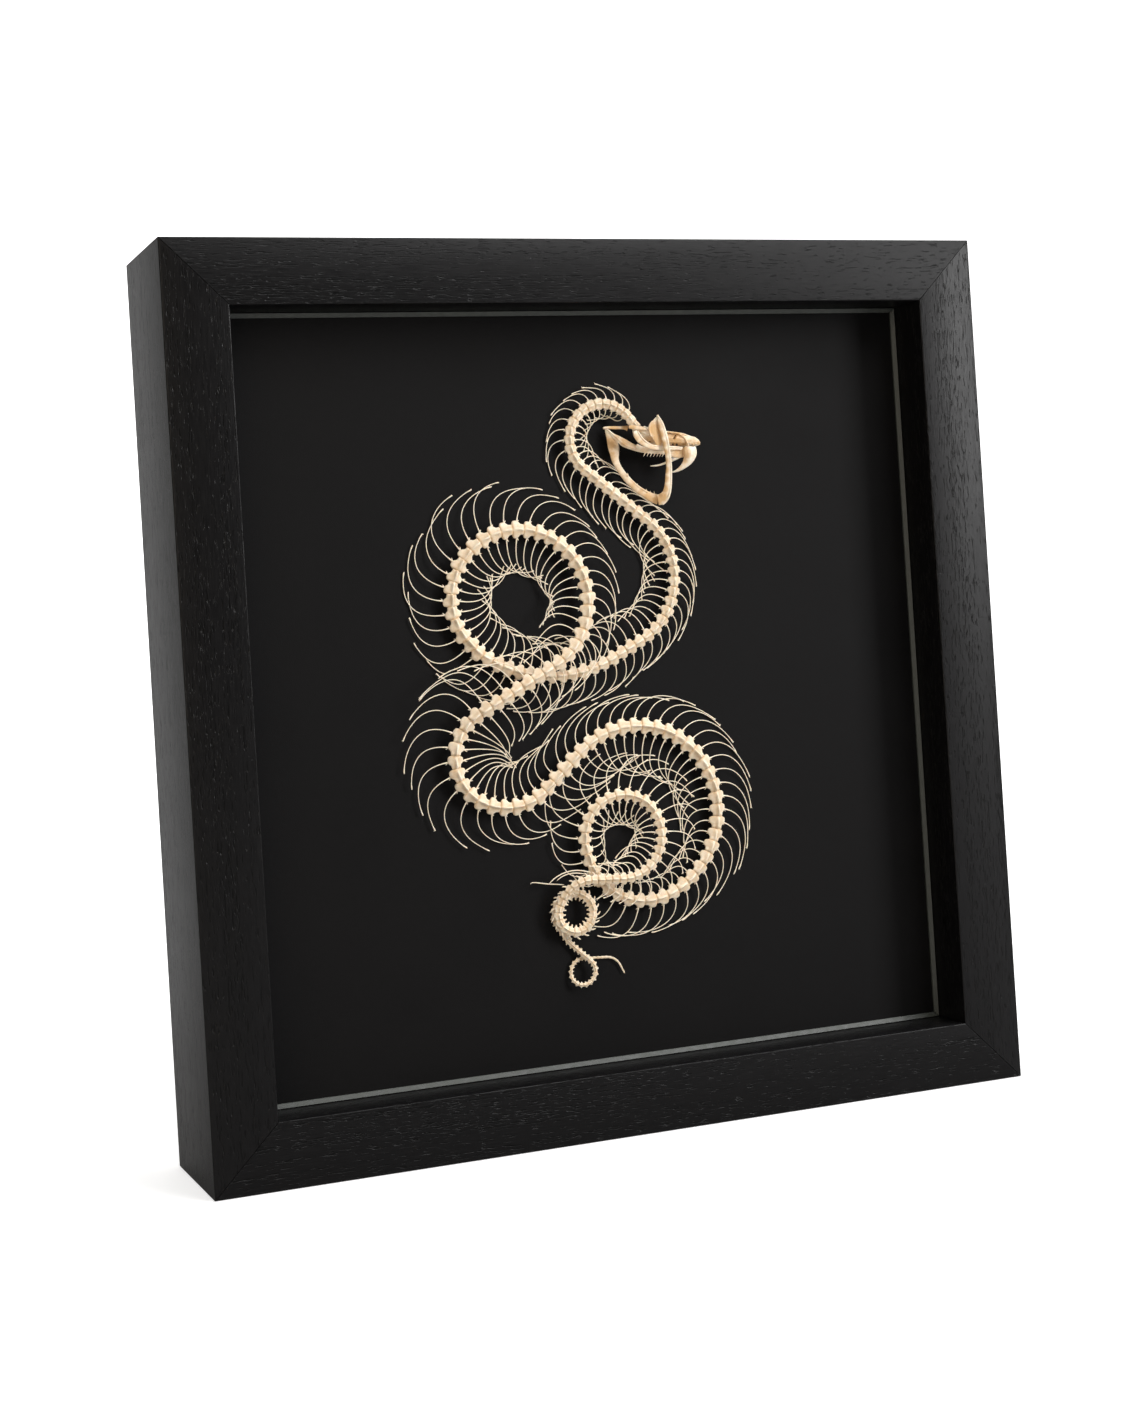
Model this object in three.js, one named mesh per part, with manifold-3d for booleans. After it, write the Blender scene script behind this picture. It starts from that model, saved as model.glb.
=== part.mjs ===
// Skeleton of a viper, mounted on a black board in a deep box frame of black-stained oak.
// Millimetres, +Z up. X runs along the frame, Y into it, and the origin is under the frame's middle.
// Places on the board are (x, z) from its centre, and a height stands out from the board to the front.
// The tables plot the bones as they line up from a viewpoint in front and to the left of the frame.
import * as THREE from 'three';
import { mergeVertices } from 'three/addons/utils/BufferGeometryUtils.js';
import Module from 'manifold-3d';

const wasm = await Module();
wasm.setup();

// Box frame: four deep mitred rails, open in front, with a rebate behind for the board and the back.
const FRAME_WIDTH = 380;
const FRAME_HEIGHT = 390;
const FRAME_DEPTH = 70;
const RAIL_FACE = 28;
const REBATE = 6;
const BOARD_FROM_FRONT = 25;
const BOARD_THICKNESS = 4;
const BEAD_SIZE = 1.8;
const BACK_FROM_FRONT = 64;
const BACK_THICKNESS = 3;
const FIT_GAP = 0.3;

// The plot's viewpoint, how far it lies in front of the board, and the height that plots unshifted.
const VIEWPOINT = [-375, 31.5];
const VIEW_DISTANCE = 918;
const PLOT_HEIGHT = 7;

// Backbone: its middle line is a belt drawn round these bends, from the skull to the tail tip.
// Each bend is the x, z and radius of a circle, and 1 for a turn to the left or -1 to the right.
const SPINE_START = [24.9, 115];
const SPINE_END = [1.5, -127.5];
const BENDS = [
  [8.2, 107, 17.5, 1],
  [5.5, 47.5, 32, -1],
  [-21, 65, 59.5, -1],
  [-41.5, 40.5, 27, -1],
  [-37, 38.5, 32, -1],
  [-49.5, -28, 21.5, 1],
  [-47, -24.5, 25.5, 1],
  [12.5, -58, 39, -1],
  [15.5, -68.2, 28.5, -1],
  [5, -67.5, 18.5, -1],
  [-12, -101, 16, 1],
  [-19.8, -98.9, 8.1, 1],
  [-20.5, -98.9, 8.9, 1],
  [-12, -102, 14.8, 1],
  [-18, -124.6, 5.8, -1],
  [-7, -127, 7.5, -1],
];
const ROUTE_STEP = 0.5;

// Sizes along the backbone, each pair a distance from the skull and the value there.
const HALF_WIDTH = [[0, 2.4], [25, 2.7], [100, 3.1], [180, 3.4], [260, 3.9], [640, 3.9], [720, 3.4],
  [780, 2.9], [850, 2.5], [915, 2.3], [940, 1.3], [975, 1], [995, 0.8], [1010, 0.3]];
const VERTEBRA_PITCH = [[0, 3.4], [40, 4], [100, 4.6], [200, 5.1], [300, 5.4], [400, 5.6], [690, 5.6],
  [760, 4.5], [800, 4], [850, 3.2], [900, 2.8], [950, 2.2], [1010, 1.8]];
const SPINE_HEIGHT = [[0, 8.5], [28, 4.6], [180, 3.8], [240, 3.8], [340, 4.4], [380, 7], [402, 10],
  [432, 10], [462, 5.4], [500, 4.2], [700, 3.8], [725, 3.8], [775, 6.5], [805, 9.6], [845, 9.4],
  [865, 5.6], [893, 5.4], [908, 1.9], [935, 1.9], [950, 4], [962, 4], [972, 1.4], [1010, 1.2]];

// Ribs: how far each side reaches from the middle line, how far back its tip lies, and its bed height.
// The stations are shares of a rib's length, each with the rib's radius there.
const RIB_FIRST = 7;
const RIB_LAST = 838;
const LEFT_REACH = [[0, 6], [60, 6.5], [90, 9.5], [128, 11], [175, 13], [215, 16.5], [250, 20.5],
  [290, 24], [310, 20], [325, 16.5], [345, 15], [365, 13.5], [400, 14], [430, 17], [520, 17],
  [545, 13.5], [570, 13.5], [590, 17], [650, 16.5], [665, 13], [690, 13], [705, 10], [735, 14],
  [795, 14], [836, 8]];
const RIGHT_REACH = [[0, 6], [30, 10], [55, 13.5], [65, 15], [100, 14], [170, 14], [300, 16],
  [345, 16], [400, 15], [425, 18], [440, 23.5], [470, 21], [488, 16], [530, 17], [600, 16],
  [640, 15], [690, 12], [720, 10], [760, 11.5], [838, 7]];
const LEFT_SWEEP = [[0, 5], [65, 10], [128, 14], [175, 15], [215, 13], [310, 12], [345, 16],
  [400, 14], [430, 9], [470, 6], [500, 12], [520, 17], [560, 20], [640, 19], [690, 18], [710, 10],
  [740, 9], [838, 6]];
const RIGHT_SWEEP = [[0, 7], [60, 12], [90, 17], [170, 18], [330, 18], [400, 14], [430, 14],
  [450, 12], [490, 13], [520, 17], [600, 17], [690, 14], [740, 10], [838, 6]];
const RIB_BED = [[0, 2.6], [40, 0.8], [320, 0.8], [345, 2.8], [362, 4.5], [378, 7.6], [438, 7.6],
  [462, 1.9], [530, 1.9], [570, 0.8], [715, 0.8], [740, 3.3], [780, 3.6], [800, 7.8], [836, 7.8]];
const RIB_STATIONS = [[0.1, 0.5], [0.52, 0.42]];
const RIB_BULGE = 0.8;
const RIB_LEAN = 0.1;
const RIB_HEAD_DROP = 0.8;
const RIB_LANDS_AT = 0.5;
const INNER_REACH_SHARE = 0.78;

// A vertebra: shares of its half width for the spine above and the keel below, where along it the
// processes stand, and how much slimmer and lower it is at the joint.
const SPINE_RISE = 0.72;
const KEEL_DROP = 0.66;
const PROCESS_AT = 0.35;
const JOINT_WIDTH = 0.66;
const JOINT_RISE = 0.8;
const [RIDGE, RIGHT, KEEL, LEFT] = [0, 1, 2, 3];

// Lengths of the body, each from one distance to the next.
const LENGTH_NAMES = ['neck', 'trunk_1', 'trunk_2', 'trunk_3', 'trunk_4', 'trunk_5', 'trunk_6',
  'trunk_7', 'trunk_8', 'tail_1', 'tail_2'];
const LENGTH_ENDS = [70, 190, 300, 388, 480, 590, 690, 790, 850, 930, 1100];

const BONE = new THREE.MeshStandardMaterial({ color: 0xe6d6bb, roughness: 0.55, metalness: 0 });
const TOOTH = new THREE.MeshStandardMaterial({ color: 0xf1e8d6, roughness: 0.4, metalness: 0 });
const OAK = new THREE.MeshStandardMaterial({ color: 0x1c1a19, roughness: 0.6, metalness: 0 });
const BOARD = new THREE.MeshStandardMaterial({ color: 0x141313, roughness: 0.9, metalness: 0 });
const BEAD = new THREE.MeshStandardMaterial({ color: 0x4a4d45, roughness: 0.6, metalness: 0 });
const STEEL = new THREE.MeshStandardMaterial({ color: 0x8d8f92, roughness: 0.4, metalness: 1 });

const group = new THREE.Group();

function addMesh(name, geometry, material) {
  const mesh = new THREE.Mesh(geometry, material);
  mesh.name = name;
  group.add(mesh);
  return mesh;
}

// A plotted place in the part's own frame: it lies at its height on the line from the viewpoint.
function onBoard(x, z, height) {
  const nearness = (VIEW_DISTANCE - height) / (VIEW_DISTANCE - PLOT_HEIGHT);
  const [viewX, viewZ] = VIEWPOINT;
  return new THREE.Vector3(viewX + (x - viewX) * nearness, BOARD_FROM_FRONT - height - FRAME_DEPTH / 2,
    viewZ + (z - viewZ) * nearness + FRAME_HEIGHT / 2);
}

function indexed(points, triangles) {
  const geometry = new THREE.BufferGeometry();
  const flat = points.flatMap((point) => [point.x, point.y, point.z]);
  geometry.setAttribute('position', new THREE.Float32BufferAttribute(flat, 3));
  geometry.setIndex(triangles.flat());
  return geometry;
}

// ---- frame ----

// A mitred bar along X: its section is drawn from the outer edge inwards (u) and from the front back.
function mitredBar(length, section) {
  const corners = section.length;
  const points = [];
  for (const end of [-1, 1]) {
    for (const [inward, depth] of section) {
      points.push(new THREE.Vector3(end * (length / 2 - inward - FIT_GAP / 2), depth, -inward));
    }
  }
  const triangles = THREE.ShapeUtils.triangulateShape(
    section.map(([inward, depth]) => new THREE.Vector2(inward, depth)), []);
  const faces = [];
  for (const [a, b, c] of triangles) {
    faces.push([a, b, c]);
    faces.push([a + corners, c + corners, b + corners]);
  }
  for (let i = 0; i < corners; i += 1) {
    const next = (i + 1) % corners;
    faces.push([next, i, i + corners]);
    faces.push([next, i + corners, next + corners]);
  }
  return outward(points, faces);
}

// Faces turned so that the solid's volume comes out positive.
function outward(points, faces) {
  let volume = 0;
  for (const [a, b, c] of faces) {
    volume += points[a].dot(points[b].clone().cross(points[c]));
  }
  return indexed(points, volume > 0 ? faces : faces.map(([a, b, c]) => [a, c, b]));
}

function addBarRing(prefix, section, inset, material) {
  const width = FRAME_WIDTH - 2 * inset;
  const height = FRAME_HEIGHT - 2 * inset;
  const sides = [['top', width, height, 0], ['right', height, width, 1], ['bottom', width, height, 2],
    ['left', height, width, 3]];
  for (const [side, length, across, quarter] of sides) {
    const mesh = addMesh(`${prefix}_${side}`, mitredBar(length, section), material);
    mesh.rotation.y = quarter * Math.PI / 2;
    const centre = new THREE.Vector3(0, -FRAME_DEPTH / 2, across / 2);
    centre.applyAxisAngle(new THREE.Vector3(0, 1, 0), quarter * Math.PI / 2);
    mesh.position.set(centre.x, -FRAME_DEPTH / 2, centre.z + FRAME_HEIGHT / 2);
  }
}

function addPlate(name, width, height, front, thickness, material) {
  const mesh = addMesh(name, new THREE.BoxGeometry(width, thickness, height), material);
  mesh.position.set(0, front + thickness / 2 - FRAME_DEPTH / 2, FRAME_HEIGHT / 2);
}

function addFrame() {
  const inner = RAIL_FACE - REBATE;
  const shoulder = BOARD_FROM_FRONT - FIT_GAP;
  addBarRing('rail', [[0, 0], [RAIL_FACE, 0], [RAIL_FACE, shoulder], [inner, shoulder],
    [inner, FRAME_DEPTH], [0, FRAME_DEPTH]], 0, OAK);

  const beadFront = shoulder - BEAD_SIZE;
  addBarRing('bead', [[0, beadFront], [BEAD_SIZE, beadFront + BEAD_SIZE / 2], [BEAD_SIZE, shoulder],
    [0, shoulder]], RAIL_FACE + FIT_GAP, BEAD);

  const battenWidth = REBATE - FIT_GAP;
  const battenFront = BOARD_FROM_FRONT + BOARD_THICKNESS + FIT_GAP;
  const battenBack = BACK_FROM_FRONT - FIT_GAP;
  addBarRing('back_batten', [[0, battenFront], [battenWidth, battenFront], [battenWidth, battenBack],
    [0, battenBack]], inner + FIT_GAP, OAK);

  const sheetWidth = FRAME_WIDTH - 2 * (inner + FIT_GAP);
  const sheetHeight = FRAME_HEIGHT - 2 * (inner + FIT_GAP);
  addPlate('board', sheetWidth, sheetHeight, BOARD_FROM_FRONT, BOARD_THICKNESS, BOARD);
  addPlate('back_panel', sheetWidth, sheetHeight, BACK_FROM_FRONT, BACK_THICKNESS, BOARD);
}

// Steel tabs that hold the back panel, and a sawtooth hanger riveted to it.
function addBackHardware() {
  const tabLength = 18;
  const tabWidth = 9;
  const tabThickness = 0.8;
  const tabFront = BACK_FROM_FRONT + BACK_THICKNESS + FIT_GAP;
  const halfWidth = FRAME_WIDTH / 2 - RAIL_FACE + REBATE - FIT_GAP;
  const halfHeight = FRAME_HEIGHT / 2 - RAIL_FACE + REBATE - FIT_GAP;
  const shape = new THREE.Shape();
  shape.moveTo(0, -tabWidth / 2);
  shape.lineTo(0, tabWidth / 2);
  shape.lineTo(-tabLength + tabWidth / 2, tabWidth / 2);
  shape.absarc(-tabLength + tabWidth / 2, 0, tabWidth / 2, Math.PI / 2, 3 * Math.PI / 2, false);
  const spread = 110;
  const places = [[halfWidth, spread, 0], [halfWidth, -spread, 0], [-halfWidth, spread, 2],
    [-halfWidth, -spread, 2], [-spread, halfHeight, 3], [spread, halfHeight, 3], [-spread, -halfHeight, 1],
    [spread, -halfHeight, 1]];
  places.forEach(([x, z, quarter], index) => {
    const geometry = new THREE.ExtrudeGeometry(shape, { depth: tabThickness, bevelEnabled: false,
      curveSegments: 2 });
    geometry.rotateX(Math.PI / 2);
    geometry.rotateY(quarter * Math.PI / 2);
    const tab = addMesh(`back_tab_${index + 1}`, geometry, STEEL);
    tab.position.set(x, tabFront + tabThickness - FRAME_DEPTH / 2, z + FRAME_HEIGHT / 2);
  });

  const hangerLength = 60;
  const hangerHeight = 9;
  const teeth = 7;
  const toothDepth = 1.6;
  const plate = new THREE.Shape();
  plate.moveTo(-hangerLength / 2, hangerHeight / 2);
  plate.lineTo(-hangerLength / 2, -hangerHeight / 2);
  const toothed = 36;
  const belowTopRail = 30;
  for (let i = 0; i <= 2 * teeth; i += 1) {
    const rise = i % 2 === 1 ? toothDepth : 0;
    plate.lineTo(-toothed / 2 + toothed * i / (2 * teeth), -hangerHeight / 2 + rise);
  }
  plate.lineTo(hangerLength / 2, -hangerHeight / 2);
  plate.lineTo(hangerLength / 2, hangerHeight / 2);
  const geometry = new THREE.ExtrudeGeometry(plate, { depth: tabThickness, bevelEnabled: false });
  geometry.rotateX(Math.PI / 2);
  const hanger = addMesh('hanger', geometry, STEEL);
  const hangerTop = FRAME_HEIGHT - RAIL_FACE - belowTopRail;
  hanger.position.set(0, tabFront + tabThickness - FRAME_DEPTH / 2, hangerTop);
}

// ---- backbone and ribs ----

// A value between the pairs of a table, eased from each pair to the next.
function along(table, distance) {
  if (distance <= table[0][0]) {
    return table[0][1];
  }
  for (let i = 1; i < table.length; i += 1) {
    if (distance <= table[i][0]) {
      const [start, before] = table[i - 1];
      const [end, after] = table[i];
      const share = THREE.MathUtils.smoothstep(distance, start, end);
      return before + (after - before) * share;
    }
  }
  return table[table.length - 1][1];
}

// The straight that leaves one bend and enters the next, each taken on its own side.
function tangent(from, to) {
  const dx = to[0] - from[0];
  const dz = to[1] - from[1];
  const lean = (to[3] * to[2] - from[3] * from[2]) / Math.hypot(dx, dz);
  const heading = Math.atan2(dz, dx) - Math.asin(THREE.MathUtils.clamp(lean, -1, 1));
  const leftX = -Math.sin(heading);
  const leftZ = Math.cos(heading);
  return {
    leave: [from[0] - from[3] * from[2] * leftX, from[1] - from[3] * from[2] * leftZ],
    enter: [to[0] - to[3] * to[2] * leftX, to[1] - to[3] * to[2] * leftZ],
  };
}

// Points at even steps along the belt round the bends.
function beltRoute(start, bends, end) {
  const circles = [[...start, 0, 0], ...bends, [...end, 0, 0]];
  const straights = circles.slice(1).map((circle, i) => tangent(circles[i], circle));
  const route = [];
  straights.forEach(({ leave, enter }, i) => {
    if (i > 0) {
      const [x, z, radius, turn] = circles[i];
      const before = straights[i - 1].enter;
      const first = Math.atan2(before[1] - z, before[0] - x);
      const last = Math.atan2(leave[1] - z, leave[0] - x);
      const full = 2 * Math.PI;
      const sweep = turn * ((((last - first) * turn) % full + full) % full);
      const steps = Math.ceil(Math.abs(sweep) * radius / ROUTE_STEP);
      for (let k = 1; k <= steps; k += 1) {
        const angle = first + sweep * k / steps;
        route.push(new THREE.Vector2(x + radius * Math.cos(angle), z + radius * Math.sin(angle)));
      }
    }
    const length = Math.hypot(enter[0] - leave[0], enter[1] - leave[1]);
    const steps = Math.ceil(length / ROUTE_STEP);
    for (let k = i === 0 ? 0 : 1; k <= steps; k += 1) {
      route.push(new THREE.Vector2(...leave).lerp(new THREE.Vector2(...enter), k / steps));
    }
  });
  return route;
}

const route = beltRoute(SPINE_START, BENDS, SPINE_END);
const distances = [0];
for (let i = 1; i < route.length; i += 1) {
  distances.push(distances[i - 1] + route[i].distanceTo(route[i - 1]));
}
const BODY_LENGTH = distances[distances.length - 1];

function routePoint(distance) {
  const wanted = THREE.MathUtils.clamp(distance, 0, BODY_LENGTH);
  let low = 0;
  let high = distances.length - 1;
  while (high - low > 1) {
    const middle = (low + high) >> 1;
    if (distances[middle] > wanted) {
      high = middle;
    } else {
      low = middle;
    }
  }
  const share = (wanted - distances[low]) / (distances[high] - distances[low]);
  return route[low].clone().lerp(route[high], share);
}

// The unit vector to the left of the body's run, smoothed over a vertebra.
function leftOf(distance) {
  const reach = 2;
  const run = routePoint(distance + reach).sub(routePoint(distance - reach)).normalize();
  return new THREE.Vector2(-run.y, run.x);
}

// A place beside the backbone: a distance along it, one out to the left and a height off the board.
function beside(distance, out, height) {
  const place = routePoint(distance).addScaledVector(leftOf(distance), out);
  return onBoard(place.x, place.y, height);
}

// Radius of the bend at a distance, positive where it turns to the left.
function bendRadius(distance) {
  const reach = 6;
  const straight = 0.01;
  const before = leftOf(distance - reach).angle();
  const after = leftOf(distance + reach).angle();
  const turned = Math.atan2(Math.sin(after - before), Math.cos(after - before));
  return Math.abs(turned) < straight ? Infinity : 2 * reach / turned;
}

function vertebraStarts() {
  const starts = [];
  for (let s = 0; s < BODY_LENGTH - 1; s += along(VERTEBRA_PITCH, s)) {
    starts.push(s);
  }
  return starts;
}

// Four points round the backbone: the neural spine in front, right process, keel and left process.
function vertebraRing(distance, widthShare, ridgeShare) {
  const half = along(HALF_WIDTH, distance);
  const middle = beside(distance, 0, along(SPINE_HEIGHT, distance));
  const left = leftOf(distance);
  const wing = new THREE.Vector3(left.x, 0, left.y).multiplyScalar(half * widthShare);
  const forward = new THREE.Vector3(0, -half * ridgeShare, 0);
  return [
    middle.clone().addScaledVector(forward, SPINE_RISE),
    middle.clone().sub(wing),
    middle.clone().addScaledVector(forward, -KEEL_DROP),
    middle.clone().add(wing),
  ];
}

// A rib's middle line at a share of its length: out from the process, then back towards the tail.
function ribPoint(distance, side, share) {
  const half = along(HALF_WIDTH, distance);
  const radius = bendRadius(distance + 4) * side;
  let reach = along(side > 0 ? LEFT_REACH : RIGHT_REACH, distance);
  if (radius > 0) {
    reach = Math.min(reach, INNER_REACH_SHARE * radius);
  }
  const sweep = along(side > 0 ? LEFT_SWEEP : RIGHT_SWEEP, distance);
  const back = 1 - share;
  const shoulder = half + RIB_BULGE * (reach - half);
  const out = back * back * half + 2 * share * back * shoulder + share * share * reach;
  const trail = 2 * share * back * RIB_LEAN * sweep + share * share * sweep;
  const drop = THREE.MathUtils.smoothstep(share, 0, RIB_LANDS_AT);
  const head = along(SPINE_HEIGHT, distance) - RIB_HEAD_DROP;
  const height = THREE.MathUtils.lerp(head, along(RIB_BED, distance), drop);
  return beside(distance + trail, side * out, height);
}

// A rib is grown out of one facet of its vertebra, whose three corners are the rib's head.
function growRib(points, faces, corners, distance, side) {
  const reach = 0.08;
  let middle = new THREE.Vector3();
  corners.forEach((corner) => middle.addScaledVector(points[corner], 1 / 3));
  let ring = corners;
  for (const [share, radius] of RIB_STATIONS) {
    const centre = ribPoint(distance, side, share);
    const run = ribPoint(distance, side, share + reach).sub(ribPoint(distance, side, share - reach));
    run.normalize();
    const first = points[ring[0]].clone().sub(middle);
    first.addScaledVector(run, -first.dot(run)).normalize();
    const second = run.clone().cross(first);
    const towardsNext = points[ring[1]].clone().sub(points[ring[0]]).dot(second) > 0 ? 1 : -1;
    const next = [0, 1, 2].map((k) => {
      const angle = towardsNext * k * 2 * Math.PI / 3;
      points.push(centre.clone().addScaledVector(first, radius * Math.cos(angle))
        .addScaledVector(second, radius * Math.sin(angle)));
      return points.length - 1;
    });
    for (let k = 0; k < 3; k += 1) {
      const after = (k + 1) % 3;
      faces.push([ring[k], ring[after], next[after]], [ring[k], next[after], next[k]]);
    }
    ring = next;
    middle = centre;
  }
  points.push(ribPoint(distance, side, 1));
  const tip = points.length - 1;
  for (let k = 0; k < 3; k += 1) {
    faces.push([ring[k], ring[(k + 1) % 3], tip]);
  }
}

// One length of the body: its vertebrae in a row, with a pair of ribs grown from each.
function bodyLength(starts, ends) {
  const points = vertebraRing(starts[0] + FIT_GAP, JOINT_WIDTH, JOINT_RISE);
  const faces = [[RIDGE, KEEL, RIGHT], [RIDGE, LEFT, KEEL]];
  let joint = 0;
  starts.forEach((start, i) => {
    const end = i === starts.length - 1 ? ends[i] - FIT_GAP / 2 : ends[i];
    const process = start + PROCESS_AT * (ends[i] - start);
    const wing = points.push(...vertebraRing(process, 1, 1)) - 4;
    stitch(faces, joint, wing, false);
    joint = points.push(...vertebraRing(end, JOINT_WIDTH, JOINT_RISE)) - 4;
    const ribbed = process >= RIB_FIRST && process <= RIB_LAST;
    stitch(faces, wing, joint, ribbed);
    if (ribbed) {
      growRib(points, faces, [wing + RIGHT, wing + KEEL, joint + RIGHT], process, -1);
      growRib(points, faces, [wing + KEEL, wing + LEFT, joint + LEFT], process, 1);
    }
  });
  faces.push([joint + RIDGE, joint + RIGHT, joint + KEEL], [joint + RIDGE, joint + KEEL, joint + LEFT]);
  return outward(points, faces);
}

// The band of facets between two rings; a ribbed one leaves out the two facets that ribs grow from.
function stitch(faces, from, to, ribbed) {
  for (let k = 0; k < 4; k += 1) {
    const next = (k + 1) % 4;
    if (ribbed && k === RIGHT) {
      faces.push([from + next, to + next, to + k]);
    } else if (ribbed && k === KEEL) {
      faces.push([from + k, to + next, to + k]);
    } else {
      faces.push([from + k, from + next, to + k], [from + next, to + next, to + k]);
    }
  }
}

function addBody() {
  const starts = vertebraStarts();
  const ends = [...starts.slice(1), BODY_LENGTH];
  let first = 0;
  LENGTH_NAMES.forEach((name, i) => {
    let last = first;
    while (last < starts.length && starts[last] < LENGTH_ENDS[i]) {
      last += 1;
    }
    addMesh(name, bodyLength(starts.slice(first, last), ends.slice(first, last)), BONE);
    first = last;
  });
}

// ---- skull ----

// A bone is a row of oval sections. Each is the x, z and height of its middle, its half width as
// seen from the front, and its half depth.
function boneShape(sections, sides) {
  const centres = sections.map(([x, z, height]) => onBoard(x, z, height));
  const points = [];
  const faces = [];
  sections.forEach(([, , , halfWidth, halfDepth], i) => {
    const run = centres[Math.min(i + 1, centres.length - 1)].clone()
      .sub(centres[Math.max(i - 1, 0)]).normalize();
    const across = run.clone().cross(new THREE.Vector3(0, 1, 0)).normalize();
    const out = across.clone().cross(run);
    for (let k = 0; k < sides; k += 1) {
      const angle = (k + 0.5) * 2 * Math.PI / sides;
      points.push(centres[i].clone().addScaledVector(across, halfWidth * Math.cos(angle))
        .addScaledVector(out, halfDepth * Math.sin(angle)));
    }
    for (let k = 0; k < sides && i > 0; k += 1) {
      const a = (i - 1) * sides + k;
      const b = (i - 1) * sides + (k + 1) % sides;
      faces.push([a, b, a + sides], [b, b + sides, a + sides]);
    }
  });
  const last = (sections.length - 1) * sides;
  for (let k = 1; k < sides - 1; k += 1) {
    faces.push([0, k + 1, k], [last, last + k, last + k + 1]);
  }
  return outward(points, faces);
}

// The oval section at a share of a bone's length.
function sectionAt(sections, share) {
  const place = share * (sections.length - 1);
  const index = Math.min(Math.floor(place), sections.length - 2);
  const next = sections[index + 1];
  return sections[index].map((value, k) => THREE.MathUtils.lerp(value, next[k], place - index));
}

function toSolid(geometry) {
  const merged = mergeVertices(geometry, 1e-5);
  return new wasm.Manifold(new wasm.Mesh({
    numProp: 3,
    vertProperties: new Float32Array(merged.attributes.position.array),
    triVerts: new Uint32Array(merged.index.array),
  }));
}

function toGeometry(solid) {
  const mesh = solid.getMesh();
  const geometry = new THREE.BufferGeometry();
  geometry.setAttribute('position', new THREE.BufferAttribute(new Float32Array(mesh.vertProperties), 3));
  geometry.setIndex(new THREE.BufferAttribute(new Uint32Array(mesh.triVerts), 1));
  return geometry;
}

// Teeth: where they root, as a share of the bone's half width, and the half sizes of base and tip.
const TOOTH_ROOT = 0.6;
const TOOTH_BASE = [0.42, 0.36];
const TOOTH_TIP = [0.14, 0.14];

// A bone with a row of small teeth along one edge; lean is how far back each tip lies.
function toothedBone(sections, sides, row) {
  let solid = toSolid(boneShape(sections, sides));
  for (let i = 0; i < row.count; i += 1) {
    const share = THREE.MathUtils.lerp(row.from, row.to, i / (row.count - 1));
    const [x, z, height, halfWidth] = sectionAt(sections, share);
    const rootX = x + row.edge[0] * halfWidth * TOOTH_ROOT;
    const rootZ = z + row.edge[1] * halfWidth * TOOTH_ROOT;
    const reach = halfWidth * (1 - TOOTH_ROOT) + row.length;
    const tipX = rootX + row.edge[0] * reach + row.lean[0];
    const tipZ = rootZ + row.edge[1] * reach + row.lean[1];
    const tooth = boneShape([[rootX, rootZ, height, ...TOOTH_BASE], [tipX, tipZ, height, ...TOOTH_TIP]], 4);
    solid = solid.add(toSolid(tooth));
  }
  return toGeometry(solid);
}

// Bones of the far side lie as deep behind the skull's middle plane as the near ones stand out.
const SKULL_MIDDLE = 9;

function mirrored(sections) {
  return sections.map(([x, z, height, ...half]) => [x, z, 2 * SKULL_MIDDLE - height, ...half]);
}

const CRANIUM = [[22.6, 110.2, 9, 2.4, 2.2], [24.5, 110, 9, 3.8, 4.2], [28, 109.8, 9, 4.3, 5],
  [32, 109.4, 9, 4.2, 4.9], [36, 108.7, 9, 3.6, 3.6], [39, 108.4, 9, 3.5, 3.5], [42, 107.9, 9, 3.2, 4.6],
  [46, 107.4, 9, 2.9, 4.6], [49.5, 106.7, 9, 2.5, 3.4], [52.5, 106, 9, 1.8, 2], [54.2, 105.4, 9, 0.6, 0.7]];
const SUPRATEMPORAL = [[19.8, 113.9, 12.6, 0.8, 0.45], [24, 113.4, 13.2, 1, 0.5],
  [28.5, 112.4, 13.9, 0.6, 0.4]];
const ECTOPTERYGOID = [[24.4, 110.6, 14.4, 0.9, 0.45], [26, 107.8, 14.5, 1.1, 0.5],
  [28.4, 105.6, 14.3, 1.2, 0.55], [31.5, 104.2, 13.6, 1.1, 0.55], [36, 103.9, 12.9, 0.9, 0.5],
  [42, 103.5, 12.9, 0.8, 0.5], [45, 103.3, 13, 0.8, 0.5]];
const PTERYGOID_RIGHT = [[23, 105.6, 11.2, 0.9, 0.6], [26, 103.4, 11.2, 1.3, 0.6],
  [30, 102.6, 11.2, 1.1, 0.6], [36, 102.2, 11.2, 1, 0.6], [43, 102.5, 11.2, 0.7, 0.5]];
const PTERYGOID_LEFT = [[10, 112.3, 6.6, 0.7, 0.5], [13.5, 109.3, 6.6, 1.5, 0.6],
  [17, 106.9, 6.7, 1.9, 0.6], [21, 104.9, 6.8, 1.7, 0.6], [25, 103.5, 6.8, 1.3, 0.6],
  [30, 102.7, 6.8, 1.1, 0.6], [36, 102.2, 6.8, 1, 0.6], [43, 102.5, 6.8, 0.7, 0.5]];
const QUADRATE_LEFT = [[19.2, 113.5, 5.2, 1.1, 0.6], [15, 113.9, 5, 0.8, 0.6], [7.6, 113.7, 4.9, 0.8, 0.7]];
const QUADRATE_RIGHT = [[33.4, 106.2, 14.5, 1.8, 0.4], [32.4, 109, 14.8, 2.2, 0.45],
  [31.6, 112, 15, 2.3, 0.45], [31.4, 114.4, 15.1, 1.9, 0.45], [32.2, 116.8, 15.2, 0.8, 0.4]];
const MAXILLA_RIGHT = [[48.9, 103.6, 13.4, 3.1, 1.6], [49, 101.5, 13.6, 3.1, 1.7],
  [48.6, 99.6, 13.6, 2.9, 1.6], [47.4, 97.4, 13.2, 2.3, 1.2], [45.4, 95.5, 12.6, 1.4, 0.9],
  [43, 94, 11.9, 0.8, 0.7], [40.8, 93.2, 11.1, 0.5, 0.5], [38.6, 92.9, 10.3, 0.25, 0.25]];
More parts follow.
